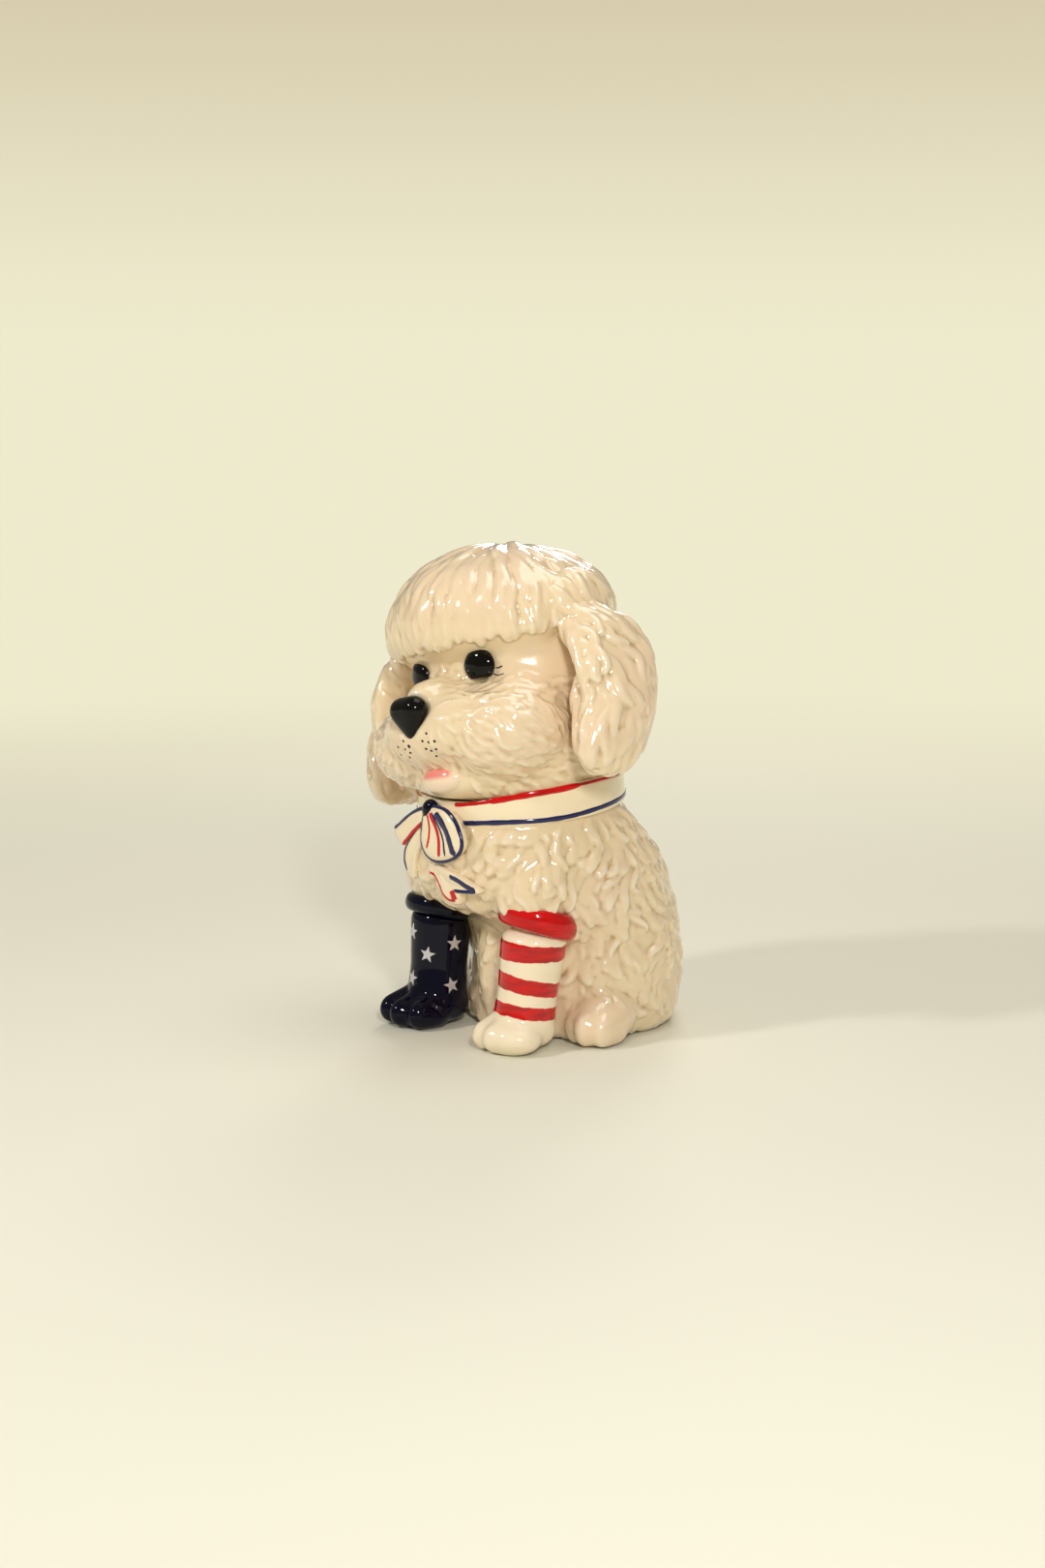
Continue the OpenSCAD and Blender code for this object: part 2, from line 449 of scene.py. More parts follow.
@dataclass(frozen=True)
class StripeGlaze(Glaze):
    """Cream stocking with three red stripes painted round it."""

    stripes: tuple = ((57.5, 47.5, 54.0, 46.5), (42.0, 33.5, 35.0, 27.5), (26.5, 20.0, 22.5, 16.0))

    def colour_of(self, graph: Graph) -> Optional[Socket]:
        """Wobbly red stripes that dip towards the back of the leg.

        Args:
            graph: The material's graph.

        Returns:
            The colour.
        """
        x, y, z = graph.axes()
        middle = leg_mid(1, 30.0)
        rearwards = (x - middle.x) * LEFT_BACK[0] + (y - middle.y) * LEFT_BACK[1]
        round_leg = (rearwards * (0.5 / 16.0) + 0.5).clamped()
        wobble = (graph.noise(110.0, 1.0, (1.0, 1.0, 0.2)) - 0.5) * 2.6 + (graph.noise(500.0, 1.0) - 0.5) * 0.5
        height = z + wobble
        paint: Union[Socket, Number] = 0.0
        for top, foot, top_rear, foot_rear in self.stripes:
            upper = height - (round_leg * (top_rear - top) + top)
            lower = height - (round_leg * (foot_rear - foot) + foot)
            paint = upper.step(0.25, -0.25) * lower.step(-0.25, 0.25) + paint
        foot = leg_mid(1, 20.0)
        reach = ((x - foot.x) ** 2 + (y - foot.y) ** 2) ** 0.5
        paint = paint * (reach - z.step(27.0, 30.0) * 8.0).step(19.5, 18.5)
        streak = graph.mix(graph.noise(70.0, 3.0, (1.0, 1.0, 5.0)).step(0.4, 0.65), RED, (0.40, 0.004, 0.006))
        # Darker tan in the hollows of the stocking: staining gathered there, and painted shade.
        base = graph.mix(graph.attribute("cavity").step(0.1, 1.0) * 0.6, self.colour, (0.62, 0.45, 0.26))
        return graph.mix(paint.clamped(), base, streak)


@dataclass(frozen=True)
class LipGlaze(Glaze):
    """Cream chin with a pink mouth that fades downwards."""

    pink: tuple[float, float, float] = (0.84, 0.2, 0.18)

    def colour_of(self, graph: Graph) -> Optional[Socket]:
        """Pink above, cream below and at the sides.

        Args:
            graph: The material's graph.

        Returns:
            The colour.
        """
        rise = graph.along(HEAD_BACK, 2)
        side = graph.along(HEAD_BACK, 0)
        mouth = rise.step(6.0, 9.0) * abs(side - 0.5).step(11.0, 7.5)
        return graph.mix(mouth * 0.88, self.colour, self.pink)


CREAM = (0.78, 0.63, 0.41)
RED = (0.6, 0.003, 0.004)


# ---------------------------------------------------------------------------------------------------------------
# Mesh tools
# ---------------------------------------------------------------------------------------------------------------


class Workshop:
    """Helpers over bpy.ops for one object at a time."""

    @staticmethod
    def only(*objects: bpy.types.Object) -> None:
        """Selects only these objects and makes the first one active.

        Args:
            objects: The objects.
        """
        if bpy.context.object and bpy.context.object.mode != "OBJECT":
            bpy.ops.object.mode_set(mode="OBJECT")
        bpy.ops.object.select_all(action="DESELECT")
        for item in objects:
            item.select_set(True)
        bpy.context.view_layer.objects.active = objects[0]

    @staticmethod
    def copy(nodes: Sequence[str], name: str) -> bpy.types.Object:
        """Copies solids of the frame into one new object, in metres.

        Args:
            nodes: The solids' names.
            name: The new object's name.

        Returns:
            The new object.
        """
        made = []
        for node in nodes:
            item = bpy.data.objects.new(name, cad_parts[node].data.copy())
            item.data.materials.clear()
            bpy.context.scene.collection.objects.link(item)
            made.append(item)
        Workshop.only(*made)
        if len(made) > 1:
            bpy.ops.object.join()
        item = bpy.context.view_layer.objects.active
        item.name = name
        for key in [a.name for a in item.data.attributes if a.name.startswith(("custom", "sharp"))]:
            item.data.attributes.remove(item.data.attributes[key])
        Workshop.weld(item)
        return item

    @staticmethod
    def made(name: str, points: Sequence[Vector], faces: Sequence[tuple]) -> bpy.types.Object:
        """Makes an object from corners in millimetres.

        Args:
            name: The object's name.
            points: The corners.
            faces: The faces' corner numbers.

        Returns:
            The object.
        """
        mesh = bpy.data.meshes.new(name)
        mesh.from_pydata([tuple(Vector(p) * MM) for p in points], [], faces)
        mesh.update()
        item = bpy.data.objects.new(name, mesh)
        bpy.context.scene.collection.objects.link(item)
        return item

    @staticmethod
    def weld(item: bpy.types.Object) -> None:
        """Merges doubled vertices and turns the normals outwards.

        Args:
            item: The object.
        """
        Workshop.only(item)
        bpy.ops.object.mode_set(mode="EDIT")
        bpy.ops.mesh.select_all(action="SELECT")
        bpy.ops.mesh.remove_doubles(threshold=1e-6)
        bpy.ops.mesh.normals_make_consistent(inside=False)
        bpy.ops.object.mode_set(mode="OBJECT")

    @staticmethod
    def join(target: bpy.types.Object, *others: bpy.types.Object) -> bpy.types.Object:
        """Joins objects into the first one.

        Args:
            target: The object that stays.
            others: The objects that are joined to it.

        Returns:
            The target.
        """
        Workshop.only(target, *others)
        bpy.ops.object.join()
        return target

    @staticmethod
    def remesh(item: bpy.types.Object, voxel: float) -> None:
        """Fuses everything in the object into one even skin.

        Args:
            item: The object.
            voxel: Voxel size in millimetres.
        """
        Workshop.only(item)
        modifier = item.modifiers.new("fuse", "REMESH")
        modifier.mode = "VOXEL"
        modifier.voxel_size = voxel * MM
        modifier.use_smooth_shade = True
        bpy.ops.object.modifier_apply(modifier=modifier.name)

    @staticmethod
    def outer(item: bpy.types.Object) -> None:
        """Keeps only the largest connected skin.

        Args:
            item: The object.
        """
        mesh = item.data
        count = len(mesh.vertices)
        edges = np.empty(len(mesh.edges) * 2, dtype=np.int64)
        mesh.edges.foreach_get("vertices", edges)
        edges = edges.reshape(-1, 2)
        label = np.arange(count)
        while True:
            low = np.minimum(label[edges[:, 0]], label[edges[:, 1]])
            before = label.copy()
            np.minimum.at(label, edges[:, 0], low)
            np.minimum.at(label, edges[:, 1], low)
            label = label[label]
            if np.array_equal(before, label):
                break
        names, sizes = np.unique(label, return_counts=True)
        if len(names) > 1:
            keep = names[np.argmax(sizes)]
            work = bmesh.new()
            work.from_mesh(mesh)
            work.verts.ensure_lookup_table()
            bmesh.ops.delete(work, geom=[work.verts[i] for i in np.nonzero(label != keep)[0]], context="VERTS")
            work.to_mesh(mesh)
            work.free()
        LOG.info("%s: %d skins, %d vertices kept", item.name, len(names), len(mesh.vertices))

    @staticmethod
    def points(item: bpy.types.Object) -> np.ndarray:
        """The vertices in metres.

        Args:
            item: The object.

        Returns:
            An array of positions.
        """
        values = np.empty(len(item.data.vertices) * 3)
        item.data.vertices.foreach_get("co", values)
        return values.reshape(-1, 3)

    @staticmethod
    def set_points(item: bpy.types.Object, values: np.ndarray) -> None:
        """Moves the vertices.

        Args:
            item: The object.
            values: Their new positions in metres.
        """
        item.data.vertices.foreach_set("co", values.ravel())
        item.data.update()

    @staticmethod
    def edges(item: bpy.types.Object) -> np.ndarray:
        """The edges as vertex pairs.

        Args:
            item: The object.

        Returns:
            An array of pairs.
        """
        values = np.empty(len(item.data.edges) * 2, dtype=np.int64)
        item.data.edges.foreach_get("vertices", values)
        return values.reshape(-1, 2)

    @staticmethod
    def relaxed(values: np.ndarray, edges: np.ndarray, rounds: int, amount: float = 0.6) -> np.ndarray:
        """Averages each vertex with its neighbours.

        Args:
            values: Positions.
            edges: Vertex pairs.
            rounds: How many times.
            amount: How far each vertex moves towards its neighbours' mean.

        Returns:
            The relaxed positions.
        """
        count = len(values)
        degree = np.bincount(edges.ravel(), minlength=count).astype(float)[:, None]
        degree[degree == 0] = 1.0
        values = values.copy()
        for _ in range(rounds):
            total = np.empty_like(values)
            for axis in range(values.shape[1]):
                column = values[:, axis]
                total[:, axis] = (np.bincount(edges[:, 0], weights=column[edges[:, 1]], minlength=count)
                                  + np.bincount(edges[:, 1], weights=column[edges[:, 0]], minlength=count))
            values += amount * (total / degree - values)
        return values

    @staticmethod
    def smooth(item: bpy.types.Object, rounds: int, amount: float = 0.6) -> None:
        """Relaxes the whole skin.

        Args:
            item: The object.
            rounds: How many times.
            amount: How far each vertex moves.
        """
        Workshop.set_points(item, Workshop.relaxed(Workshop.points(item), Workshop.edges(item), rounds, amount))

    @staticmethod
    def normals(item: bpy.types.Object) -> np.ndarray:
        """Vertex normals.

        Args:
            item: The object.

        Returns:
            An array of unit vectors.
        """
        values = np.empty(len(item.data.vertices) * 3, dtype=np.float32)
        item.data.vertex_normals.foreach_get("vector", values)
        return values.reshape(-1, 3).astype(float)

    @staticmethod
    def mark_cavity(item: bpy.types.Object, rounds: int, depth: float) -> None:
        """Stores how hollow each vertex lies, for the staining and painted shade in the hollows and the painted
        highlight on the crests.

        Args:
            item: The object.
            rounds: Relaxing rounds that set the width looked at.
            depth: Hollow depth in millimetres that counts as full.
        """
        points = Workshop.points(item)
        mean = Workshop.relaxed(points, Workshop.edges(item), rounds)
        hollow = np.einsum("ij,ij->i", mean - points, Workshop.normals(item)) / (depth * MM)
        layer = item.data.attributes.new("cavity", "FLOAT", "POINT")
        layer.data.foreach_set("value", np.clip(hollow, -1.0, 1.0).astype(np.float32))

    @staticmethod
    def ground(item: bpy.types.Object) -> None:
        """Flattens whatever reaches below the resting plane.

        Args:
            item: The object.
        """
        points = Workshop.points(item)
        points[:, 2] = np.maximum(points[:, 2], 0.0)
        Workshop.set_points(item, points)

    @staticmethod
    def shade(item: bpy.types.Object) -> None:
        """Shades the object smooth.

        Args:
            item: The object.
        """
        Workshop.only(item)
        bpy.ops.object.shade_smooth()

    @staticmethod
    def disc(at: Sequence[float], half: Sequence[float], frame_of: Optional[Matrix] = None) -> bpy.types.Object:
        """A short oval plug that closes an opening before fusing.

        Args:
            at: Middle in millimetres, in the frame.
            half: Half sizes in millimetres.
            frame_of: The frame, or None for the row frame.

        Returns:
            The plug.
        """
        bpy.ops.mesh.primitive_cylinder_add(vertices=64, radius=1.0, depth=2.0)
        plug = bpy.context.object
        shape = (frame_of or Matrix.Identity(4)) @ Matrix.Translation(Vector(at)) @ Matrix.Diagonal((*half, 1.0))
        plug.data.transform(Matrix.Scale(MM, 4) @ shape)
        return plug

    @staticmethod
    def inset(item: bpy.types.Object, depth: float) -> None:
        """Moves the skin inwards to leave room for relief.

        Args:
            item: The object.
            depth: Depth in millimetres.
        """
        Workshop.set_points(item, Workshop.points(item) - Workshop.normals(item) * depth * MM)

    @staticmethod
    def thin(item: bpy.types.Object, budget: int) -> None:
        """Drops facets that the relief doesn't need.

        Args:
            item: The object.
            budget: How many triangles may stay.
        """
        total = sum(len(face.vertices) - 2 for face in item.data.polygons)
        if total > budget:
            Workshop.only(item)
            modifier = item.modifiers.new("thin", "DECIMATE")
            modifier.ratio = budget / total
            bpy.ops.object.modifier_apply(modifier=modifier.name)
        LOG.info("%s: %d triangles, budget %d", item.name, total, budget)

    @staticmethod
    def ball(at: Vector, half: Sequence[float], turn: Optional[Matrix] = None, segments: int = 48,
             rings: int = 32) -> bpy.types.Object:
        """A stretched ball.

        Args:
            at: Middle in millimetres.
            half: Half sizes in millimetres.
            turn: A turn about the middle.
            segments: Facets round it.
            rings: Facets from pole to pole.

        Returns:
            The ball.
        """
        bpy.ops.mesh.primitive_uv_sphere_add(segments=segments, ring_count=rings, radius=1.0)
        item = bpy.context.object
        stretch = Matrix.Diagonal((*[h * MM for h in half], 1.0))
        matrix = Matrix.Translation(at * MM) @ (turn or Matrix.Identity(4)) @ stretch
        item.data.transform(matrix)
        item.data.update()
        return item


class Surface:
    """Finds places on the skins of objects, in millimetres."""

    def __init__(self, items: Iterable[bpy.types.Object]) -> None:
        """Reads the skins.

        Args:
            items: The objects.
        """
        points: list = []
        faces: list = []
        for item in items:
            base = len(points)
            points.extend(vertex.co / MM for vertex in item.data.vertices)
            item.data.calc_loop_triangles()
            faces.extend(tuple(base + i for i in t.vertices) for t in item.data.loop_triangles)
        self.tree = BVHTree.FromPolygons(points, faces)

    def cast(self, start: Vector, way: Vector) -> Optional[tuple[Vector, Vector]]:
        """The first place along a ray.

        Args:
            start: Where the ray starts.
            way: Where it goes.

        Returns:
            The place and its normal, or None.
        """
        place, normal, _, _ = self.tree.ray_cast(start, way)
        return None if place is None else (place, normal)


# ---------------------------------------------------------------------------------------------------------------
# Coat
# ---------------------------------------------------------------------------------------------------------------


@dataclass(frozen=True)
class LockStyle:
    """How the locks of one patch of coat are modelled, in millimetres."""

    spacing: float
    length: tuple[float, float]
    width: tuple[float, float]
    height: tuple[float, float]
    swing: float = 0.35
    swings: float = 1.0
    scatter: float = 0.25
    lift: float = 0.4
    steps: int = 9


@dataclass
class Patch:
    """One patch of coat: where it grows, which way and in what style."""

    style: LockStyle
    flow: Flow
    mask: Mask
    stop: Optional[Callable[[Vector], bool]] = None
    source: Optional[bpy.types.Object] = None


@dataclass
class Coat:
    """Grows locks on a skin and fuses them with it."""

    skin: bpy.types.Object
    seed: int
    voxel: float
    guides: tuple = ()
    points: list = field(default_factory=list)
    faces: list = field(default_factory=list)
    count: int = 0

    def __post_init__(self) -> None:
        self.random = random.Random(self.seed)
        self.tree = Surface((self.skin, *self.guides)).tree

    def roots(self, patch: Patch) -> list[tuple[Vector, Vector, float]]:
        """Scatters evenly spaced roots over the patch.

        Args:
            patch: The patch.

        Returns:
            Root places, normals and mask values.
        """
        mesh = (patch.source or self.skin).data
        mesh.calc_loop_triangles()
        weights = np.cumsum([triangle.area / MM / MM for triangle in mesh.loop_triangles])
        cell = patch.style.spacing
        wanted = int(weights[-1] / cell**2 * 3.0)
        grid: dict = {}
        found = []
        picks = np.searchsorted(weights, np.array([self.random.random() for _ in range(wanted)]) * weights[-1])
        for pick in picks:
            corners = mesh.loop_triangles[min(int(pick), len(weights) - 1)].vertices
            a, b, c = (mesh.vertices[i].co / MM for i in corners)
            u, v = self.random.random(), self.random.random()
            if u + v > 1.0:
                u, v = 1.0 - u, 1.0 - v
            place = a + (b - a) * u + (c - a) * v
            normal = (b - a).cross(c - a).normalized()
            value = patch.mask(place, normal)
            if value <= 0.02:
                continue
            key = (int(place.x // cell), int(place.y // cell), int(place.z // cell))
            near = any((place - other).length < cell * 0.8
                       for dx in (-1, 0, 1) for dy in (-1, 0, 1) for dz in (-1, 0, 1)
                       for other in grid.get((key[0] + dx, key[1] + dy, key[2] + dz), ()))
            if near:
                continue
            grid.setdefault(key, []).append(place)
            found.append((place, normal, value))
        return found

    def lock(self, patch: Patch, place: Vector, normal: Vector, size: float) -> None:
        """Models one lock from its root.

        Args:
            patch: The patch it belongs to.
            place: The root.
            normal: The skin's normal there.
            size: Overall size from the mask.
        """
        style = patch.style
        draw = self.random.uniform
        length = draw(*style.length) * (0.6 + 0.4 * size)
        width = draw(*style.width)
        height = draw(*style.height) * size
        bend = draw(-style.scatter, style.scatter)
        phase = draw(0.0, math.tau)
        pace = length / style.steps
        line = []
        for index in range(style.steps + 1):
            way = patch.flow(place, normal)
            way = way - normal * way.dot(normal)
            if way.length < 1e-6:
                way = normal.orthogonal()
            angle = bend + style.swing * math.sin(math.tau * style.swings * index / style.steps + phase)
            way = Matrix.Rotation(angle, 3, normal) @ way.normalized()
            line.append((place.copy(), normal.copy(), way))
            place, normal, _, _ = self.tree.find_nearest(place + way * pace)
            if patch.stop is not None and patch.stop(place):
                break
        if len(line) < 4:
            return
        last = len(line) - 1
        self.body([(*station, index / last) for index, station in enumerate(line)], width, height, style.lift)

    def body(self, sections: list, width: float, height: float, lift: float) -> None:
        """Builds a lock's closed body round its line.

        Args:
            sections: Place, normal, forward direction and share of the length.
            width: Half width.
            height: Height.
            lift: How far the tip stands off.
        """
        sides = 8
        base = len(self.points)
        for place, normal, way, share in sections:
            swell = (min(1.0, (share + 0.06) / 0.45)) ** 0.7
            blunt = math.sqrt(max(0.0, 1.0 - max(0.0, (share - 0.62) / 0.4) ** 2))
            across = normal.cross(way).normalized()
            wide = width * swell * blunt + 0.05
            tall = height * (0.25 + 0.75 * min(1.0, share / 0.6)) * blunt + 0.02
            middle = place + normal * (lift * share * share)
            for side in range(sides):
                angle = math.tau * side / sides
                up = math.sin(angle)
                deep = tall if up > 0 else 1.2 + lift * share
                self.points.append(middle + across * (wide * math.cos(angle)) + normal * (deep * up))
        rings = len(sections)
        for ring in range(rings - 1):
            for side in range(sides):
                after = (side + 1) % sides
                a = base + ring * sides
                self.faces.append((a + side, a + after, a + sides + after, a + sides + side))
        self.faces.append(tuple(base + side for side in reversed(range(sides))))
        self.faces.append(tuple(base + (rings - 1) * sides + side for side in range(sides)))
        self.count += 1

    def grow(self, patch: Patch) -> None:
        """Grows one patch.

        Args:
            patch: The patch.
        """
        before = self.count
        for place, normal, value in self.roots(patch):
            self.lock(patch, place, normal, min(1.0, value))
        LOG.info("%s: %d locks", self.skin.name, self.count - before)

    def fuse(self, soften: int, cavity: float = 0.45, budget: int = 190000) -> bpy.types.Object:
        """Fuses the locks with the skin and softens them.

        Args:
            soften: Relaxing rounds after fusing.
            cavity: Hollow depth in millimetres that takes the full staining and painted shade.
            budget: How many triangles may stay.

        Returns:
            The coated skin.
        """
        Workshop.join(self.skin, Workshop.made("locks", self.points, self.faces))
        Workshop.remesh(self.skin, self.voxel)
        Workshop.outer(self.skin)
        Workshop.smooth(self.skin, soften)
        Workshop.ground(self.skin)
        Workshop.mark_cavity(self.skin, 14, cavity)
        Workshop.thin(self.skin, budget)
        Workshop.shade(self.skin)
        return self.skin


def swirl(place: Vector, scale: float, seed: float) -> float:
    """Smooth noise between about -1 and 1.

    Args:
        place: A point in millimetres.
        scale: Feature size in millimetres.
        seed: Picks a different field.

    Returns:
        The noise.
    """
    return noise.noise(Vector((place.x / scale + seed, place.y / scale - seed, place.z / scale + 2 * seed))) * 1.8


# ---------------------------------------------------------------------------------------------------------------
# Pieces
# ---------------------------------------------------------------------------------------------------------------


@dataclass
class Piece:
    """One visible piece that stands for solids of the frame."""

    name: str
    nodes: tuple[str, ...]
    slot: Slot
    material: bpy.types.Material

    def shape(self) -> bpy.types.Object:
        """Models the piece.

        Returns:
            The modelled object.
        """
        raise NotImplementedError

    def make(self) -> bpy.types.Object:
        """Returns:
            The finished object.
        """
        item = self.shape()
        item.name = self.name
        item.data.name = self.name
        item.data.materials.clear()
        item.data.materials.append(self.material)
        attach(item, "root")
        if self.nodes:
            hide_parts(*self.nodes)
        LOG.info("piece %s: %d faces", self.name, len(item.data.polygons))
        return item


DETAIL = 1.0


@dataclass
class Body(Piece):
    """Torso, haunches, hind paws and tail under one curly coat."""

    vent: tuple[float, float] = (24.0, 8.0)

    def flow(self, place: Vector, normal: Vector) -> Vector:
        """Locks fall, and swirl as curls do.

        Args:
            place: A point in millimetres.
            normal: The skin's normal.

        Returns:
            The direction of growth.
        """
        turn = 1.0 * swirl(place, 24.0, 3.0) + 0.25 * swirl(place, 10.0, 6.0)
        down = Vector((0.0, 0.25 if place.y > 10 else 0.0, -1.0))
        return Matrix.Rotation(turn, 3, normal) @ down

    def mask(self, place: Vector, normal: Vector) -> float:
        """Where the curls stand.

        Args:
            place: A point in millimetres.
            normal: The skin's normal.

        Returns:
            0 for bare and 1 for full curls.
        """
        seam = SEAM_BACK @ place
        paws = abs(place.x) > 37 and place.y < 10 and place.z < 19
        if seam.z > -BAND_W - 1.0 or normal.z < -0.6 or paws or place.z < 3.0:
            return 0.0
        shoulder = 1.0 if place.z > 62 and place.y < 12 else 0.72
        between = 0.6 if abs(place.x) < 24 and place.y < -28 and place.z < 62 else 1.0
        patchy = 0.72 + 0.4 * swirl(place, 16.0, 12.0)
        return shoulder * between * min(1.0, 0.6 + place.z / 80.0) * min(1.0, max(0.25, patchy))

    def shape(self) -> bpy.types.Object:
        item = Workshop.copy(("torso", "base_plate", "hind_paw_left", "hind_paw_right", "tail"), self.name)
        Workshop.join(item, Workshop.disc((0, self.vent[0], 2.5), (10, 10, 2.5)),
                      Workshop.disc((0, 0, -5), (50.2, 50.2, 4), SEAM))
        Workshop.remesh(item, 1.7)
        Workshop.outer(item)
        Workshop.smooth(item, 15)
        Workshop.inset(item, 0.8)
        for node in ("hind_paw_left", "hind_paw_right"):
            paw = Workshop.copy((node,), "paw")
            Workshop.remesh(paw, 0.9)
            Workshop.outer(paw)
            Workshop.smooth(paw, 12)
            Workshop.join(item, paw)
        coat = Coat(item, seed=11, voxel=0.72 * DETAIL)
        big = LockStyle(spacing=7.0, length=(12.0, 24.0), width=(2.0, 4.0), height=(1.4, 3.3), swing=0.5,
                        swings=0.8, scatter=0.4, lift=1.0, steps=13)
        small = LockStyle(spacing=6.0, length=(7.0, 14.0), width=(1.1, 2.1), height=(0.8, 1.8), swing=0.45,
                          swings=0.7, scatter=0.45, lift=0.4)
        coat.grow(Patch(big, self.flow, self.mask))
        coat.grow(Patch(small, self.flow, self.mask))
        coat.fuse(2)
        points = Workshop.points(item)
        reach = np.hypot(points[:, 0], points[:, 1] - self.vent[0] * MM) / (self.vent[1] * MM)
        points[(reach < 1.0) & (points[:, 2] < MM), 2] += 9.0 * MM
        Workshop.set_points(item, points)
        return item


@dataclass
class HeadCoat(Piece):
    """Skull, muzzle, cheeks and the fringe, fused over a filled hollow."""

    hollow: tuple = (((0, 8, 58), (52, 49, 53)), ((-2, 0, 84), (49, 43, 29)), ((0, 2, 24), (50, 50, 26)),
                     ((0, -38, 31), (38, 34, 19)), ((27, -33, 25), (26, 29, 21)), ((-27, -33, 25), (26, 29, 21)),
                     ((31, -22, 37), (20, 25, 20)), ((-31, -22, 37), (20, 25, 20)))

    def under_fringe(self, item: bpy.types.Object) -> None:
        """Fills the step between the fringe and the face.

        Args:
            item: The head.
        """
        skin = Surface([item])
        balls = []
        for bearing in range(-66, 67, 4):
            out = Vector((math.sin(math.radians(bearing)), -math.cos(math.radians(bearing)), 0.0))
            found = []
            for rise in (67.0, 79.0):
                start = Vector((0.0, 0.0, rise)) + out * 90.0
                hit = skin.cast(HEAD @ start, HEAD.to_3x3() @ -out)
                if hit:
                    found.append((HEAD_BACK @ hit[0] - Vector((0.0, 0.0, rise))).length)
            if len(found) == 2 and found[1] > found[0]:
                for rise, share in ((74.0, 0.85), (70.0, 0.5)):
                    reach = found[0] + share * (found[1] - found[0]) - 8.6
                    balls.append(Vector((0.0, 0.0, rise)) + out * reach)
        for middle in balls:
            ball = Workshop.ball(middle, (9.0, 9.0, 6.5), segments=24, rings=16)
            ball.data.transform(Matrix.Scale(MM, 4) @ HEAD @ Matrix.Scale(1.0 / MM, 4))
            Workshop.join(item, ball)

    def crown_flow(self, place: Vector, normal: Vector) -> Vector:
        """Hair falls outwards from the crown.

        Args:
            place: A point in millimetres.
            normal: The skin's normal.

        Returns:
            The direction of growth.
        """
        local = HEAD_BACK @ place
        out = Vector((local.x, local.y - 14.0, 0.0))
        out = out.normalized() if out.length > 1e-3 else Vector((0, -1, 0))
        way = out * 0.45 + Vector((0, 0, -1))
        return Matrix.Rotation(0.22 * swirl(place, 26.0, 5.0), 3, normal) @ (HEAD.to_3x3() @ way)

    def muzzle_flow(self, place: Vector, normal: Vector) -> Vector:
        """Short hair sweeps back and down from the nose.

        Args:
            place: A point in millimetres.
            normal: The skin's normal.

        Returns:
            The direction of growth.
        """
        local = HEAD_BACK @ place
        out = local - Vector((0.0, -86.0, 48.0))
        out.z = out.z * 1.1 - 8.0
        way = HEAD.to_3x3() @ out.normalized()
        return Matrix.Rotation(0.35 * swirl(place, 16.0, 8.0), 3, normal) @ way

    def fringe_mask(self, place: Vector, normal: Vector) -> float:
        """Where the long hair of the crown and the fringe grows.

        Args:
            place: A point in millimetres.
            normal: The skin's normal.

        Returns:
            0 for bare and 1 for full.
        """
        local = HEAD_BACK @ place
        above_ear = abs(local.x) > 44 and -26 < local.y < 24 and local.z < 100
        whorl = math.hypot(local.x, local.y - 14.0) < 6.0
        return 1.0 if local.z > 80.0 and not above_ear and not whorl else 0.0

    def back_mask(self, place: Vector, normal: Vector) -> float:
        """Where the hair of the back of the head grows.

        Args:
            place: A point in millimetres.
            normal: The skin's normal.

        Returns:
            0 for bare and 1 for full.
        """
        local = HEAD_BACK @ place
        return 1.0 if local.y > 16.0 and 6.0 < local.z <= 84.0 else 0.0

    def muzzle_mask(self, place: Vector, normal: Vector) -> float:
        """Where the short hair of the muzzle and the cheeks grows.

        Args:
            place: A point in millimetres.
            normal: The skin's normal.

        Returns:
            0 for bare and 1 for full.
        """
        local = HEAD_BACK @ place
        seam = SEAM_BACK @ place
        nose = local.y < -63.0 and abs(local.x) < 13.0 and local.z > 26.0
        chin = local.y < -36.0 and abs(local.x) < 17.0 and local.z < 16.0
        top = 49.0 if abs(local.x) > 12.0 else 60.0
        if local.y > 22.0 or seam.z < 7.0 or nose or chin or local.z > top:
            return 0.0
        return min(1.0, 0.7 + abs(local.x) / 120.0, (top + 3.0 - local.z) / 8.0 + 0.3)

    def shape(self) -> bpy.types.Object:
        item = Workshop.copy(("head", "forelock"), self.name)
        fill = [Workshop.disc((0, 0, 14), (47, 47, 17), SEAM)]
        for at, half in self.hollow:
            ball = Workshop.ball(Vector(at), half)
            ball.data.transform(Matrix.Scale(MM, 4) @ HEAD @ Matrix.Scale(1.0 / MM, 4))
            fill.append(ball)
        Workshop.join(item, *fill)
        self.under_fringe(item)
        Workshop.remesh(item, 1.5)
        Workshop.outer(item)
        Workshop.smooth(item, 14)
        Workshop.inset(item, 0.6)
        coat = Coat(item, seed=23, voxel=0.72 * DETAIL)
        long = LockStyle(spacing=6.2, length=(26.0, 42.0), width=(2.6, 4.2), height=(1.1, 2.2), swing=0.16,
                         swings=1.2, scatter=0.12, lift=0.9, steps=16)
        back = LockStyle(spacing=5.8, length=(16.0, 26.0), width=(2.4, 3.6), height=(1.1, 2.1), swing=0.5,
                         swings=1.2, scatter=0.3, lift=0.7, steps=12)
        short = LockStyle(spacing=4.4, length=(8.0, 17.0), width=(1.1, 2.2), height=(0.6, 1.4), swing=0.35,
                          swings=0.7, scatter=0.3, lift=0.4, steps=9)

        def fringe_end(place: Vector) -> bool:
            local = HEAD_BACK @ place
            return local.y < 16.0 and local.z < 70.5 + 3.6 * swirl(place, 7.0, 2.0)

        coat.grow(Patch(long, self.crown_flow, self.fringe_mask, fringe_end))
        coat.grow(Patch(back, self.crown_flow, self.back_mask, lambda p: (SEAM_BACK @ p).z < 3.0))
        coat.grow(Patch(short, self.muzzle_flow, self.muzzle_mask, lambda p: (SEAM_BACK @ p).z < 1.5))
        return coat.fuse(2)


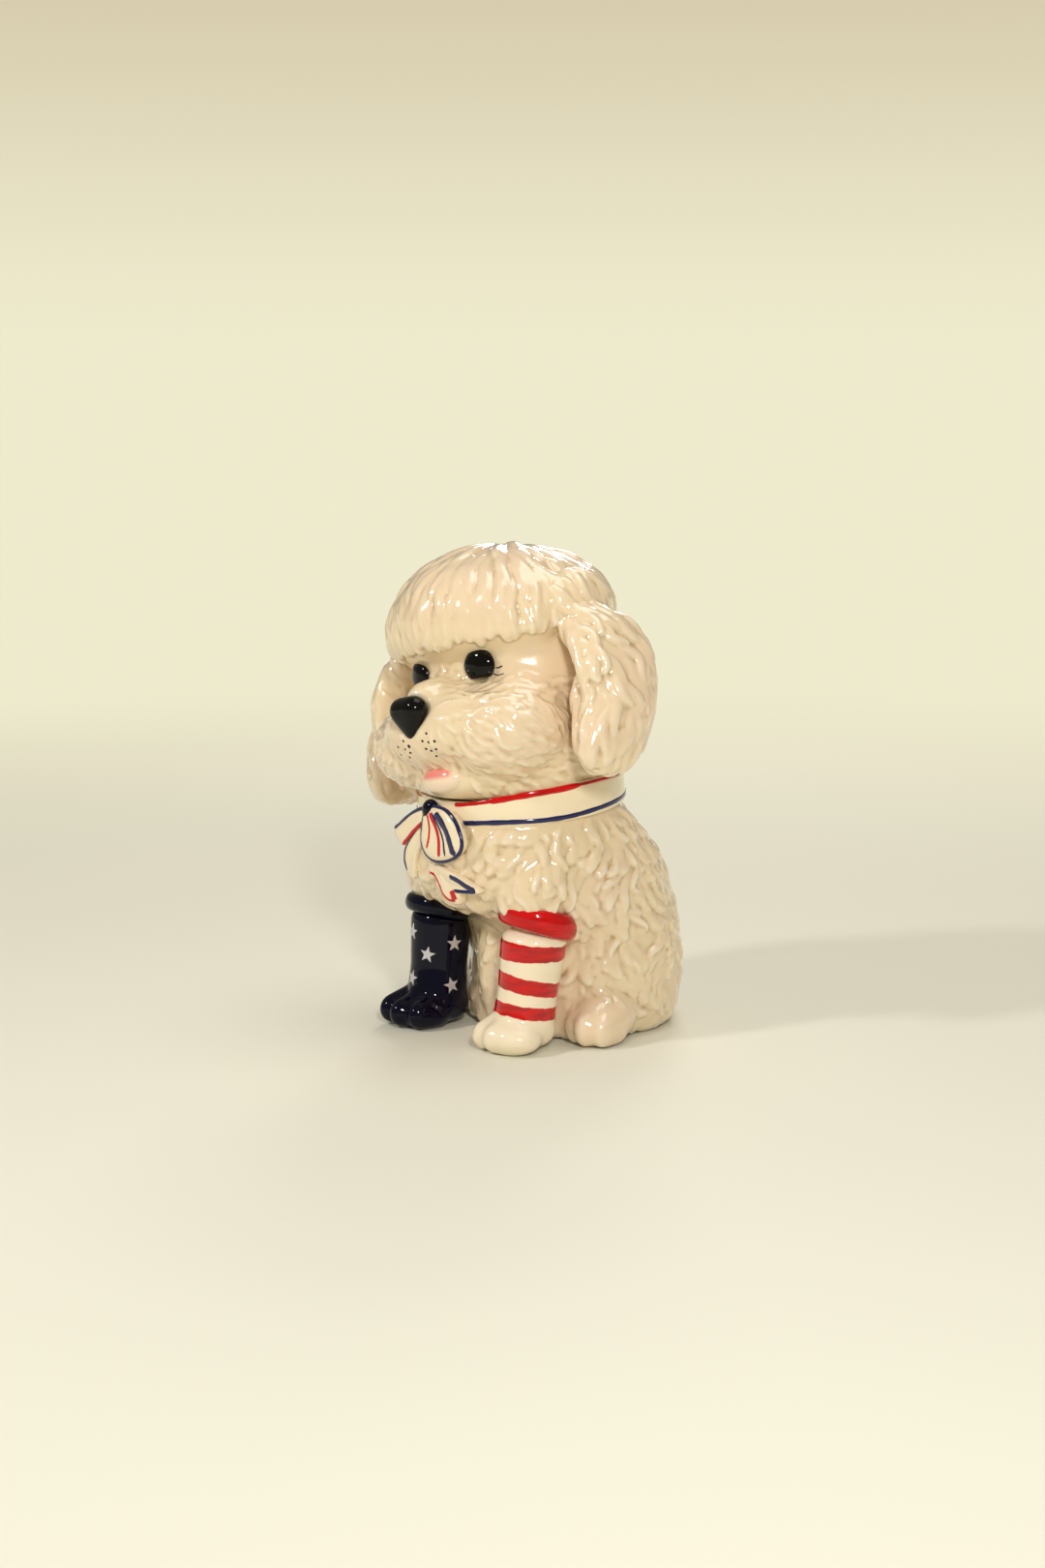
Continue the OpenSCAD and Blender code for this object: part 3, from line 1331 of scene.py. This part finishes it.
@dataclass
class Ear(Piece):
    """A long ear of wavy hair with a smooth curled tip."""

    side: Side = Side.LEFT

    def flow(self, place: Vector, normal: Vector) -> Vector:
        """Hair falls and sweeps back, then turns to the tip.

        Args:
            place: A point in millimetres.
            normal: The skin's normal.

        Returns:
            The direction of growth.
        """
        local = HEAD_BACK @ place
        back = 0.5 if local.z > 50 else (0.15 if local.z > 30 else -0.35)
        out = 0.8 * self.side if local.z > 74 else 0.0
        way = HEAD.to_3x3() @ Vector((out, back, -1.0))
        return Matrix.Rotation(0.35 * swirl(place, 22.0, 9.0 * self.side), 3, normal) @ way

    def mask(self, place: Vector, normal: Vector) -> float:
        """Full hair above and a smooth tip below.

        Args:
            place: A point in millimetres.
            normal: The skin's normal.

        Returns:
            0 for bare and 1 for full.
        """
        local = HEAD_BACK @ place
        return min(1.0, max(0.0, (local.z - 12.0) / 16.0))

    def crown(self, place: Vector, normal: Vector) -> float:
        """Where hair of the crown falls over the ear.

        Args:
            place: A point in millimetres.
            normal: The skin's normal.

        Returns:
            0 for bare and 1 for full.
        """
        local = HEAD_BACK @ place
        return 1.0 if self.side * local.x > 40 and -16 < local.y < 24 and 78 < local.z < 108 else 0.0

    def shape(self) -> bpy.types.Object:
        item = Workshop.copy((self.nodes[0],), self.name)
        root = Workshop.ball(Vector((self.side * 51.0, 1.0, 84.0)), (11.5, 22.0, 18.0))
        root.data.transform(Matrix.Scale(MM, 4) @ HEAD @ Matrix.Scale(1.0 / MM, 4))
        Workshop.join(item, root)
        Workshop.remesh(item, 1.3)
        Workshop.outer(item)
        Workshop.smooth(item, 8)
        Workshop.inset(item, 0.9)
        head = Workshop.copy(("head", "forelock"), "head_guide")
        coat = Coat(item, seed=31 + self.side, voxel=0.7 * DETAIL, guides=(head,))
        style = LockStyle(spacing=7.0, length=(22.0, 38.0), width=(2.6, 4.6), height=(1.6, 3.2), swing=0.4,
                          swings=1.2, scatter=0.2, lift=1.1, steps=16)
        over = LockStyle(spacing=5.6, length=(26.0, 38.0), width=(2.4, 3.6), height=(1.2, 2.2), swing=0.2,
                         swings=1.1, scatter=0.15, lift=0.6, steps=14)

        def off_ear(place: Vector) -> bool:
            local = HEAD_BACK @ place
            return local.z < 76.0 and self.side * local.x < 58.0

        coat.grow(Patch(over, self.flow, self.crown, off_ear, head))
        coat.grow(Patch(style, self.flow, self.mask))
        bpy.data.objects.remove(head)
        return coat.fuse(2, budget=90000)


@dataclass
class Smooth(Piece):
    """A plain piece: its solids fused and softened."""

    voxel: float = 0.7
    rounds: int = 10
    cavity: float = 0.6
    fill: tuple = ()

    def shape(self) -> bpy.types.Object:
        item = Workshop.copy(self.nodes, self.name)
        for middle, radii in self.fill:
            Workshop.join(item, Workshop.ball(Vector(middle), radii))
        Workshop.remesh(item, self.voxel)
        Workshop.outer(item)
        Workshop.smooth(item, self.rounds)
        Workshop.ground(item)
        Workshop.mark_cavity(item, 14, self.cavity)
        Workshop.shade(item)
        return item


@dataclass
class Stocking(Smooth):
    """The striped leg, a little fuller towards its cuff."""

    ankle: float = 12.0
    fuller: float = 0.07
    aside: float = 1.0

    def shape(self) -> bpy.types.Object:
        item = super().shape()
        points = Workshop.points(item)
        for index, point in enumerate(points):
            axis = leg_mid(1, point[2] / MM) * MM
            share = min(1.0, max(0.0, (point[2] / MM - self.ankle) / 40.0))
            outwards = self.fuller * (point[:2] - np.array(axis[:2]))
            points[index][:2] += share * (outwards + self.aside * MM * np.array(LEFT_BACK))
        Workshop.set_points(item, points)
        return item


@dataclass
class Cuff(Smooth):
    """The full roll at the top of the stocking, higher in front."""

    def shape(self) -> bpy.types.Object:
        item = super().shape()
        points = Workshop.points(item)
        middle = points.mean(axis=0)
        local = points - middle
        ahead = -(local[:, 0] * LEFT_BACK[0] + local[:, 1] * LEFT_BACK[1]) / (20.0 * MM)
        local[:, 2] = local[:, 2] * 1.12 + (1.7 + 1.7 * ahead) * MM
        Workshop.set_points(item, local + middle)
        return item


@dataclass
class Eye(Smooth):
    """A domed eye with a flattened lower edge."""

    sunk: float = 1.0

    def shape(self) -> bpy.types.Object:
        item = super().shape()
        local = np.array([tuple(HEAD_BACK @ Vector(p / MM)) for p in Workshop.points(item)])
        middle, foot = local[:, 2].mean(), local[:, 2].min()
        edge = middle + 0.74 * (foot - middle)
        local[:, 2] = np.where(local[:, 2] < edge, edge + 0.12 * (local[:, 2] - edge), local[:, 2])
        local[:, 1] += self.sunk
        Workshop.set_points(item, np.array([tuple(HEAD @ Vector(p) * MM) for p in local]))
        return item


@dataclass
class Lip(Piece):
    """The chin with the painted mouth on top."""

    def shape(self) -> bpy.types.Object:
        item = Workshop.ball(Vector((-0.5, -54.3, 6.4)), (14.2, 9.0, 8.0))
        item.data.transform(Matrix.Scale(MM, 4) @ HEAD @ Matrix.Scale(1.0 / MM, 4))
        Workshop.shade(item)
        return item


@dataclass
class Band(Piece):
    """The ribbon round the neck, wider where the head leans away."""

    def top(self, bearing: float) -> float:
        """Height of the upper edge.

        Args:
            bearing: Angle from the front, in radians.

        Returns:
            The height in the seam's frame, in millimetres.
        """
        return max(-0.6, -3.8 + 9.4 * math.sin(bearing))

    def shape(self) -> bpy.types.Object:
        rounds = 160
        profile = ((49.0, 0.0), (52.4, 0.0), (53.2, 0.04), (53.6, 0.12), (53.3, 0.5), (53.3, 0.85), (52.9, 0.96),
                   (52.2, 1.0), (49.0, 1.0))
        points, faces = [], []
        for index in range(rounds):
            bearing = math.tau * index / rounds
            low, high = -BAND_W, self.top(bearing)
            for radius, share in profile:
                points.append(SEAM @ Vector((radius * math.sin(bearing), -radius * math.cos(bearing),
                                             low + (high - low) * share)))
        size = len(profile)
        for index in range(rounds):
            here, after = index * size, (index + 1) % rounds * size
            for row in range(size):
                up = (row + 1) % size
                faces.append((here + row, after + row, after + up, here + up))
        item = Workshop.made(self.name, points, faces)
        Workshop.weld(item)
        Workshop.shade(item)
        return item


def smooth_path(knots: Sequence[Sequence[float]], steps: int, closed: bool = False) -> list[Vector]:
    """A smooth path through knots.

    Args:
        knots: The knots.
        steps: Steps between two knots.
        closed: Whether the path returns to its start.

    Returns:
        The path's points.
    """
    line = [Vector(knot) for knot in knots]
    count = len(line)
    found = []
    for index in range(count if closed else count - 1):
        at = [line[(index + k) % count] if closed else line[min(max(index + k, 0), count - 1)]
              for k in (-1, 0, 1, 2)]
        for step in range(steps):
            t = step / steps
            found.append(0.5 * (2 * at[1] + (at[2] - at[0]) * t + (2 * at[0] - 5 * at[1] + 4 * at[2] - at[3]) * t**2
                                + (3 * at[1] - at[0] - 3 * at[2] + at[3]) * t**3))
    return found if closed else [*found, line[-1]]


@dataclass
class Cushion(Piece):
    """A raised ribbon form with a rounded rim, drawn in its front view."""

    rim: tuple = ()
    rise: float = 2.0
    back: float = 6.0

    def shape(self) -> bpy.types.Object:
        outline = smooth_path(self.rim, 6, closed=True)
        count = len(outline)
        middle = sum(outline, Vector((0, 0, 0))) / count
        points, faces = [], []
        layers = ((0.9, 1.0), (1.0, 0.35), (1.0, 0.0), (0.95, -0.55), (0.8, -0.95), (0.55, -1.0), (0.25, -0.85))
        for spread, depth in layers:
            push = depth * (self.back if depth > 0 else self.rise)
            points.extend(middle + (p - middle) * spread + Vector((0, push, 0)) for p in outline)
        points.append(middle + Vector((0, self.back, 0)))
        points.append(middle + Vector((0, -0.8 * self.rise, 0)))
        for layer in range(len(layers) - 1):
            for index in range(count):
                after = (index + 1) % count
                a = layer * count
                faces.append((a + index, a + after, a + count + after, a + count + index))
        last = (len(layers) - 1) * count
        for index in range(count):
            after = (index + 1) % count
            faces.append((len(points) - 2, after, index))
            faces.append((last + index, last + after, len(points) - 1))
        item = Workshop.made(self.name, points, faces)
        Workshop.weld(item)
        Workshop.shade(item)
        return item


ROUND_NECK = (0.0, 0.0, 0.0)


@dataclass
class Stroke:
    """One brush stroke: knots in a frame, half width, and where the brush comes from."""

    knots: tuple
    width: float
    way: tuple[float, float, float] = (0.0, 1.0, 0.0)
    frame_of: Matrix = field(default_factory=Matrix)
    taper: tuple[float, float] = (0.5, 0.25)
    free: bool = False


@dataclass
class Brushwork(Piece):
    """Painted strokes and dots, laid on the skins of other pieces."""

    strokes: tuple = ()
    under: tuple = ()
    thickness: float = 0.28

    def lay(self, surface: Surface, stroke: Stroke, points: list, faces: list) -> None:
        """Lays one stroke.

        Args:
            surface: The skins below.
            stroke: The stroke.
            points: Collects the corners.
            faces: Collects the faces.
        """
        way = (stroke.frame_of.to_3x3() @ Vector(stroke.way)).normalized()
        path = [Vector(k) for k in stroke.knots]
        path = smooth_path(path, 8) if len(path) > 1 else path
        stations = []
        for knot in path:
            place = stroke.frame_of @ knot
            push = way
            if stroke.free:
                stations.append((place, -way))
                continue
            if stroke.way == ROUND_NECK:
                push = (SEAM @ Vector((0, 0, knot.z)) - place).normalized()
            hit = surface.cast(place - push * 25.0, push)
            if hit is not None:
                stations.append(hit)
        if len(path) == 1 and stations:
            self.dot(stations[0], stroke.width, points, faces)
            return
        if len(stations) < 3:
            LOG.warning("%s: a stroke missed its surface", self.name)
            return
        sides, base, last = 10, len(points), len(stations) - 1
        for index, (place, normal) in enumerate(stations):
            ahead, behind = stations[min(index + 1, last)][0], stations[max(index - 1, 0)][0]
            forward = (ahead - behind).normalized()
            across = normal.cross(forward).normalized()
            share = index / last
            ends = min(1.0, share / 0.12 + stroke.taper[0], (1.0 - share) / 0.12 + stroke.taper[1])
            wide = stroke.width * ends * (1.0 + 0.1 * swirl(place, 5.0, 1.0))
            for side in range(sides):
                angle = math.tau * side / sides
                tall = wide * 0.9 if stroke.free else self.thickness
                points.append(place + across * wide * math.cos(angle) + normal * tall * math.sin(angle))
        for ring in range(last):
            for side in range(sides):
                after = (side + 1) % sides
                a = base + ring * sides
                faces.append((a + side, a + after, a + sides + after, a + sides + side))
        faces.append(tuple(base + side for side in reversed(range(sides))))
        faces.append(tuple(base + last * sides + side for side in range(sides)))

    def dot(self, station: tuple, width: float, points: list, faces: list) -> None:
        """Lays one dot.

        Args:
            station: Place and normal.
            width: Its radius.
            points: Collects the corners.
            faces: Collects the faces.
        """
        place, normal = station
        across = normal.orthogonal().normalized()
        along = normal.cross(across)
        rings = ((0.0, -1.0), (0.8, -0.6), (1.0, 0.0), (0.8, 0.6), (0.0, 1.0))
        sides, base = 12, len(points)
        for spread, rise in rings:
            for side in range(sides):
                angle = math.tau * side / sides
                outward = across * math.cos(angle) + along * math.sin(angle)
                points.append(place + outward * (width * max(spread, 0.02)) + normal * self.thickness * rise)
        for ring in range(len(rings) - 1):
            for side in range(sides):
                after = (side + 1) % sides
                a = base + ring * sides
                faces.append((a + side, a + after, a + sides + after, a + sides + side))
        faces.append(tuple(base + side for side in reversed(range(sides))))
        faces.append(tuple(base + (len(rings) - 1) * sides + side for side in range(sides)))

    def shape(self) -> bpy.types.Object:
        surface = Surface([bpy.data.objects[name] for name in self.under])
        band = Surface([bpy.data.objects["band"]]) if "band" in self.under else surface
        points: list = []
        faces: list = []
        for stroke in self.strokes:
            self.lay(band if stroke.way == ROUND_NECK else surface, stroke, points, faces)
        item = Workshop.made(self.name, points, faces)
        Workshop.weld(item)
        Workshop.shade(item)
        return item


@dataclass
class Stars(Piece):
    """Silver star transfers that hug the boot."""

    marks: tuple = ((-15, 49), (81, 44), (27, 38.5), (-11, 25), (79, 22.5), (-52, 37), (-86, 48), (-84, 26))
    radius: float = 4.4

    def shape(self) -> bpy.types.Object:
        surface = Surface([bpy.data.objects["boot"]])
        points, faces = [], []
        for bearing, height in self.marks:
            turn = Matrix.Rotation(math.radians(bearing), 3, "Z")
            out, side = turn @ Vector((0, -1, 0)), turn @ Vector((1, 0, 0))
            tilt = self.hand_tilt(bearing)
            flat = []
            for index in range(10):
                reach = self.radius * (1.0 if index % 2 == 0 else 0.42)
                angle = math.radians(36 * index + tilt)
                flat.append((reach * math.sin(angle), reach * math.cos(angle)))
            rings = [[(x * k, z * k) for x, z in flat] for k in (1.0, 0.66, 0.33)]
            spots = [spot for ring in rings for spot in ring] + [(0.0, 0.0)]
            base = len(points)
            for x, z in spots:
                start = leg_mid(-1, height) + side * x + Vector((0, 0, z)) + out * 40
                hit = surface.cast(start, -out)
                points.append(hit[0] + hit[1] * 0.16)
            count = len(spots)
            points.extend([point - out * 0.5 for point in points[base:base + count]])
            for layer, flip in ((0, False), (count, True)):
                for ring in range(2):
                    for index in range(10):
                        after = (index + 1) % 10
                        quad = (index, after, 10 + after, 10 + index)
                        quad = tuple(base + layer + 10 * ring + k for k in quad)
                        faces.append(quad if flip else quad[::-1])
                for index in range(10):
                    fan = tuple(base + layer + k for k in (20 + index, 20 + (index + 1) % 10, 30))
                    faces.append(fan if flip else fan[::-1])
            for index in range(10):
                after = (index + 1) % 10
                faces.append((base + index, base + after, base + count + after, base + count + index))
        item = Workshop.made(self.name, points, faces)
        Workshop.weld(item)
        Workshop.only(item)
        bpy.ops.object.shade_smooth_by_angle(angle=math.radians(40.0))
        return item

    @staticmethod
    def hand_tilt(bearing: float) -> float:
        """How far a star is turned in its plane.

        Args:
            bearing: The star's bearing.

        Returns:
            Degrees.
        """
        return (bearing * 7) % 24 - 12


@dataclass
class Studio:
    """Pale seamless floor, soft lights and the camera."""

    paper: tuple[float, float, float] = (0.79, 0.79, 0.68)
    haze: tuple[float, float, float] = (0.86, 0.825, 0.61)

    def floor(self) -> None:
        """Makes the seamless sheet."""
        bpy.ops.mesh.primitive_plane_add(size=1.0)
        sheet = bpy.context.object
        sheet.name = "floor"
        sheet.data.transform(Matrix.Diagonal((60.0, 60.0, 1.0, 1.0)))
        material = bpy.data.materials.new("paper")
        material.use_nodes = True
        graph = Graph(material.node_tree)
        x, y, _ = graph.axes()
        far = ((x * x + y * y) ** 0.5).step(250.0, 1500.0)
        near = graph.node("ShaderNodeBsdfPrincipled", inputs={"Base Color": self.paper, "Roughness": 0.85})
        glow = graph.node("ShaderNodeEmission", inputs={"Color": self.haze, "Strength": 1.0})
        graph.finish(graph.node("ShaderNodeMixShader", inputs={0: far, 1: near, 2: glow}))
        sheet.data.materials.append(material)

    def sky(self) -> None:
        """Shows the camera a backdrop the colour of the paper, darker towards the top as painted shade, and lights
        the room with a dim warm grey.
        """
        world = bpy.data.worlds.new("world")
        bpy.context.scene.world = world
        world.use_nodes = True
        graph = Graph(world.node_tree)
        ray = graph.node("ShaderNodeTexCoord", output="Generated")
        parts = graph.node("ShaderNodeSeparateXYZ", inputs={0: ray})
        rise = Socket(graph, parts.socket.node.outputs[2])
        seen = graph.node("ShaderNodeLightPath", output="Is Camera Ray")
        # Painted shade: the backdrop darkens towards the top.
        colour = graph.mix(rise.step(0.0, 0.17), self.haze, (0.66, 0.58, 0.40))
        colour = graph.mix(seen, (0.30, 0.27, 0.22), colour)
        shader = graph.node("ShaderNodeBackground", inputs={"Color": colour, "Strength": 1.0})
        target = world.node_tree.nodes.new("ShaderNodeOutputWorld")
        world.node_tree.links.new(shader.socket, target.inputs[0])

    def light(self, name: str, at: Sequence[float], size: Sequence[float], power: float,
              colour: Sequence[float] = (1.0, 1.0, 1.0), look: Sequence[float] = (0.0, 0.0, 0.13)) -> None:
        """Adds a soft box.

        Args:
            name: Its name.
            at: Its place in metres.
            size: Its width and height in metres.
            power: Its power in watts.
            colour: Its colour.
            look: The point it faces.
        """
        data = bpy.data.lights.new(name, "AREA")
        data.shape = "RECTANGLE"
        data.size, data.size_y = size
        data.energy = power
        data.color = colour
        item = bpy.data.objects.new(name, data)
        bpy.context.scene.collection.objects.link(item)
        item.location = at
        item.rotation_euler = (Vector(look) - Vector(at)).to_track_quat("-Z", "Y").to_euler()

    def camera(self) -> None:
        """Places the camera."""
        data = bpy.data.cameras.new("camera")
        data.lens, data.sensor_width, data.clip_end = 60.0, 36.0, 100.0
        item = bpy.data.objects.new("camera", data)
        bpy.context.scene.collection.objects.link(item)
        bearing, rise, distance = math.radians(50.0), math.radians(9.0), 1.337
        back = Vector((math.sin(bearing) * math.cos(rise), -math.cos(bearing) * math.cos(rise), math.sin(rise)))
        right = Vector((math.cos(bearing), math.sin(bearing), 0.0))
        target = Vector((0.0, -0.02, 0.125)) + right * 0.00125 + back.cross(right) * 0.0024
        item.location = target + back * distance
        item.rotation_euler = (-back).to_track_quat("-Z", "Y").to_euler()
        bpy.context.scene.camera = item

    def build(self) -> None:
        """Sets up floor, sky, lights and camera."""
        self.floor()
        self.sky()
        self.light("key", (-0.25, -1.2, 1.0), (0.13, 0.13), 6.8, (1.0, 0.96, 0.93))
        self.light("window", (1.15, -0.75, 0.75), (0.14, 0.22), 9.8, (1.0, 0.97, 0.93))
        self.light("top", (0.2, 0.2, 1.4), (0.8, 0.8), 5.0, (1.0, 0.96, 0.93))
        self.light("rear", (-0.9, 1.0, 0.9), (0.5, 0.5), 6.0, (1.0, 0.96, 0.92))
        self.camera()
        bpy.context.scene.view_settings.view_transform = "Standard"


BOW_Y = -77.0


def flat(*pairs: tuple[float, float], y: float = BOW_Y) -> tuple:
    """Knots of the bow in its front view.

    Args:
        pairs: x and z of each knot in millimetres.
        y: Their common y.

    Returns:
        The knots.
    """
    return tuple((x, y, z) for x, z in pairs)


def round_neck(width: float, *pairs: tuple[float, float]) -> Stroke:
    """A stroke along the band.

    Args:
        width: Half width in millimetres.
        pairs: Bearing from the front in degrees and height of each knot.

    Returns:
        The stroke.
    """
    knots = tuple((60 * math.sin(math.radians(b)), -60 * math.cos(math.radians(b)), z) for b, z in pairs)
    return Stroke(knots, width, ROUND_NECK, SEAM)


def head_dots(width: float, *pairs: tuple[float, float]) -> list[Stroke]:
    """Dots on the muzzle.

    Args:
        width: Their radius in millimetres.
        pairs: x and z of each dot in the head's frame.

    Returns:
        The dots.
    """
    return [Stroke(((x, -80.0, z),), width, (0.0, 1.0, 0.0), HEAD) for x, z in pairs]


def main() -> None:
    """Builds the puppy and its studio."""
    cream = CoatGlaze("cream_glaze", CREAM).build()
    plain = Glaze("ribbon_glaze", (0.87, 0.74, 0.52)).build()
    stocking = StripeGlaze("stocking_glaze", (0.88, 0.77, 0.57), 0.12, 0.4, index=1.35).build()
    navy = Glaze("navy_glaze", (0.0015, 0.002, 0.011), 0.03, 0.0, index=1.3).build()
    ink = Glaze("navy_line_glaze", (0.003, 0.006, 0.075), 0.12, 0.3).build()
    red = RedGlaze("red_glaze", RED, 0.1, 0.35, index=1.3).build()
    black = Glaze("black_glaze", (0.002, 0.0015, 0.0015), 0.02, 0.0, index=1.33).build()
    pink = LipGlaze("pink_glaze", (0.84, 0.68, 0.50)).build()
    silver = Glaze("silver_lustre", (0.62, 0.62, 0.66), 0.32, 0.3, metallic=0.55).build()

    # The outlines of the bow, its inner strokes and the bearings and heights of the lines on the band are tables
    # that another program measured, partly rounded, and so are the whisker dots and the lashes.
    loop_near = flat((1, 122), (-5, 118), (-7, 111), (-7.5, 103), (-4, 97.5), (3, 95), (13, 96.5), (21, 100.5),
                     (24, 105.5), (22.5, 111), (18.5, 117), (11, 121.5), y=-77.5)
    loop_far = ((-4, -77, 121), (-12, -77, 118.5), (-20, -76, 114.5), (-28, -75, 109.5), (-34, -74, 106.5),
                (-34, -74, 103), (-30.5, -74, 99), (-27, -74, 98), (-21, -75, 103), (-13, -76, 109), (-5, -77, 114))
    tail_near = ((-4, -75, 91), (5, -77, 92.5), (15, -77, 90.5), (23, -74.5, 87), (31, -72.0, 82.5), (25, -73, 80.5),
                 (19, -74, 80), (16, -73, 74), (9, -73.5, 74.5), (4, -74.5, 79), (1, -75, 85))
    tail_far = ((-9, -76, 111), (-14, -76, 108), (-20, -75.5, 102), (-25, -75, 97), (-28, -73.5, 90),
                (-28, -71.5, 84), (-20, -73, 82), (-18, -74, 90), (-14, -75, 97), (-8, -76, 103))
    pieces: list[Piece] = [
        Body("body_coat", ("torso", "base_plate", "hind_paw_left", "hind_paw_right", "tail"), Slot.CREAM, cream),
        HeadCoat("head_coat", ("head", "forelock"), Slot.CREAM, cream),
        Ear("ear_left_coat", ("ear_left",), Slot.CREAM, cream, Side.LEFT),
        Ear("ear_right_coat", ("ear_right",), Slot.CREAM, cream, Side.RIGHT),
        Stocking("stocking", ("foreleg_left", "forepaw_left"), Slot.STOCKING, stocking, 0.7, 30,
               fill=((tuple(leg_mid(1, 8.0) + Vector((1.0, -9.0, 0.0))), (19.0, 14.5, 9.5)),)),
        Smooth("boot", ("foreleg_right", "forepaw_right"), Slot.NAVY, navy, 0.7, 26,
               fill=((tuple(leg_mid(-1, 7.0) + Vector((-1.0, -9.0, 0.0))), (17.5, 14.0, 9.0)),)),
        Cuff("stocking_cuff", ("sock_cuff",), Slot.RED, red, 0.6),
        Smooth("boot_cuff_roll", ("boot_cuff",), Slot.NAVY, navy, 0.6),
        Smooth("nose_button", ("nose",), Slot.BLACK, black, 0.4, 85),
        Eye("eye_left_dome", ("eye_left",), Slot.BLACK, black, 0.3, 6),
        Eye("eye_right_dome", ("eye_right",), Slot.BLACK, black, 0.3, 6, sunk=2.2),
        Lip("mouth", ("lower_lip",), Slot.PINK, pink),
        Band("band", ("ribbon_collar",), Slot.RIBBON, plain),
        Smooth("knot", ("bow_knot",), Slot.NAVY, navy, 0.4, 4),
        Cushion("loop_left", ("bow_loop_left",), Slot.RIBBON, plain, loop_near, 2.6, 6.0),
        Cushion("loop_right", ("bow_loop_right",), Slot.RIBBON, plain, loop_far, 1.6, 4.0),
        Cushion("ribbon_end_left", ("ribbon_tail_left",), Slot.RIBBON, plain, tail_near, 1.2, 6.0),
        Cushion("ribbon_end_right", ("ribbon_tail_right",), Slot.RIBBON, plain, tail_far, 1.0, 5.0),
        Stars("stars", ("star_decals",), Slot.SILVER, silver),
        Brushwork("navy_brushwork", (), Slot.NAVY, ink, under=("band", "loop_left", "loop_right", "ribbon_end_left",
                                                              "ribbon_end_right", "body_coat", "knot"),
                  strokes=(
                      round_neck(1.2, (4, -10.8), (13, -10.9), (30, -10.2), (45, -10.0), (60, -10.3), (76, -10.2),
                                 (96, -9.4), (123, -9.2), (150, -9.6), (180, -10.0), (210, -10.2), (240, -10.4),
                                 (270, -10.6), (300, -10.8), (330, -10.8), (345, -10.8)),
                      Stroke(loop_near + loop_near[:1], 1.15, taper=(1.0, 1.0), free=True),
                      Stroke(flat((6, 119.5), (11, 115.5), (15.5, 110), (18.5, 104), (19.5, 100)), 2.0),
                      Stroke(flat((3, 119.5), (8.5, 113), (12, 106.5), (13.6, 99)), 0.7),
                      Stroke(((-6, -78, 120.5), (-12, -78, 118.3), (-20, -77, 114.3), (-28, -76, 109.3),
                              (-34, -75, 106)), 0.9, free=True),
                      Stroke(flat((-12, 109.5), (-18.5, 103.5), (-24, 97), (-26.8, 90), (-27, 85)), 0.75),
                      Stroke(flat((14, 88.5), (18, 87.3), (23, 84.8), (29, 82.2)), 1.7),
                      Stroke(flat((29, 82.4), (22, 81.6), (14.5, 81.2)), 0.9),
                  )),
        Brushwork("red_brushwork", (), Slot.RED, red, under=("band", "loop_left", "loop_right", "ribbon_end_left",
                                                            "ribbon_end_right", "body_coat"),
                  strokes=(
                      round_neck(1.0, (12, -1.8), (18, -1.4), (29, 0.0), (39, 1.6)),
                      round_neck(1.5, (33, 0.6), (45, 2.0), (56, 3.2), (70, 3.9), (86, 4.6)),
                      round_neck(0.8, (80, 4.6), (100, 4.4), (125, 2.8), (150, 0.0), (175, -1.6), (200, -1.8),
                                 (240, -1.8), (280, -1.8), (320, -1.8), (340, -1.8)),
                      Stroke(flat((1.5, 119), (5.5, 113.5), (7.8, 108), (8.8, 102), (8.6, 98)), 1.2),
                      Stroke(flat((-0.5, 118), (1.2, 112.5), (0.6, 106), (-1.0, 101)), 0.7),
                      Stroke(((-7, -77.5, 113.5), (-13, -77, 109.2), (-21, -76, 103.2), (-27, -75, 98.6)), 1.0,
                             free=True),
                      Stroke(flat((-4, 88), (-1, 87.2), (2, 84.8), (4.3, 81.7), (5.8, 78.4), (9.7, 75.8), (15, 75.8)),
                             0.8),
                      Stroke(flat((13, 81), (14, 78.5), (14.5, 76.4)), 2.4),
                  )),
        Brushwork("black_brushwork", (), Slot.BLACK, black, under=("head_coat",), strokes=(
            *head_dots(0.72, (11.2, 29.9), (7.7, 26.5), (10.9, 25.5), (14.5, 25.5), (7.4, 22.5), (9.3, 21.2),
                       (13.3, 21.6), (9.3, 18.3), (-5.4, 28), (-12, 25.6), (-6.6, 23.9), (-4.2, 21.8), (-13.3, 21.6),
                       (-6.9, 19.7)),
            *head_dots(1.0, (-2.5, 25.0)),
            Stroke(((28.2, -40, 57.1), (29.6, -40, 56.9), (31.4, -40, 57.5)), 0.35, frame_of=HEAD),
            Stroke(((27.3, -40, 54.4), (29.5, -40, 53.2), (32.8, -40, 53.6)), 0.35, frame_of=HEAD),
            Stroke(((-28.2, -40, 57.1), (-29.6, -40, 56.9), (-31.4, -40, 57.5)), 0.35, frame_of=HEAD),
            Stroke(((-27.3, -40, 54.4), (-29.5, -40, 53.2), (-32.8, -40, 53.6)), 0.35, frame_of=HEAD),
        )),
    ]
    for piece in pieces:
        piece.make()
    Studio().build()


if __name__ == "__main__":
    main()
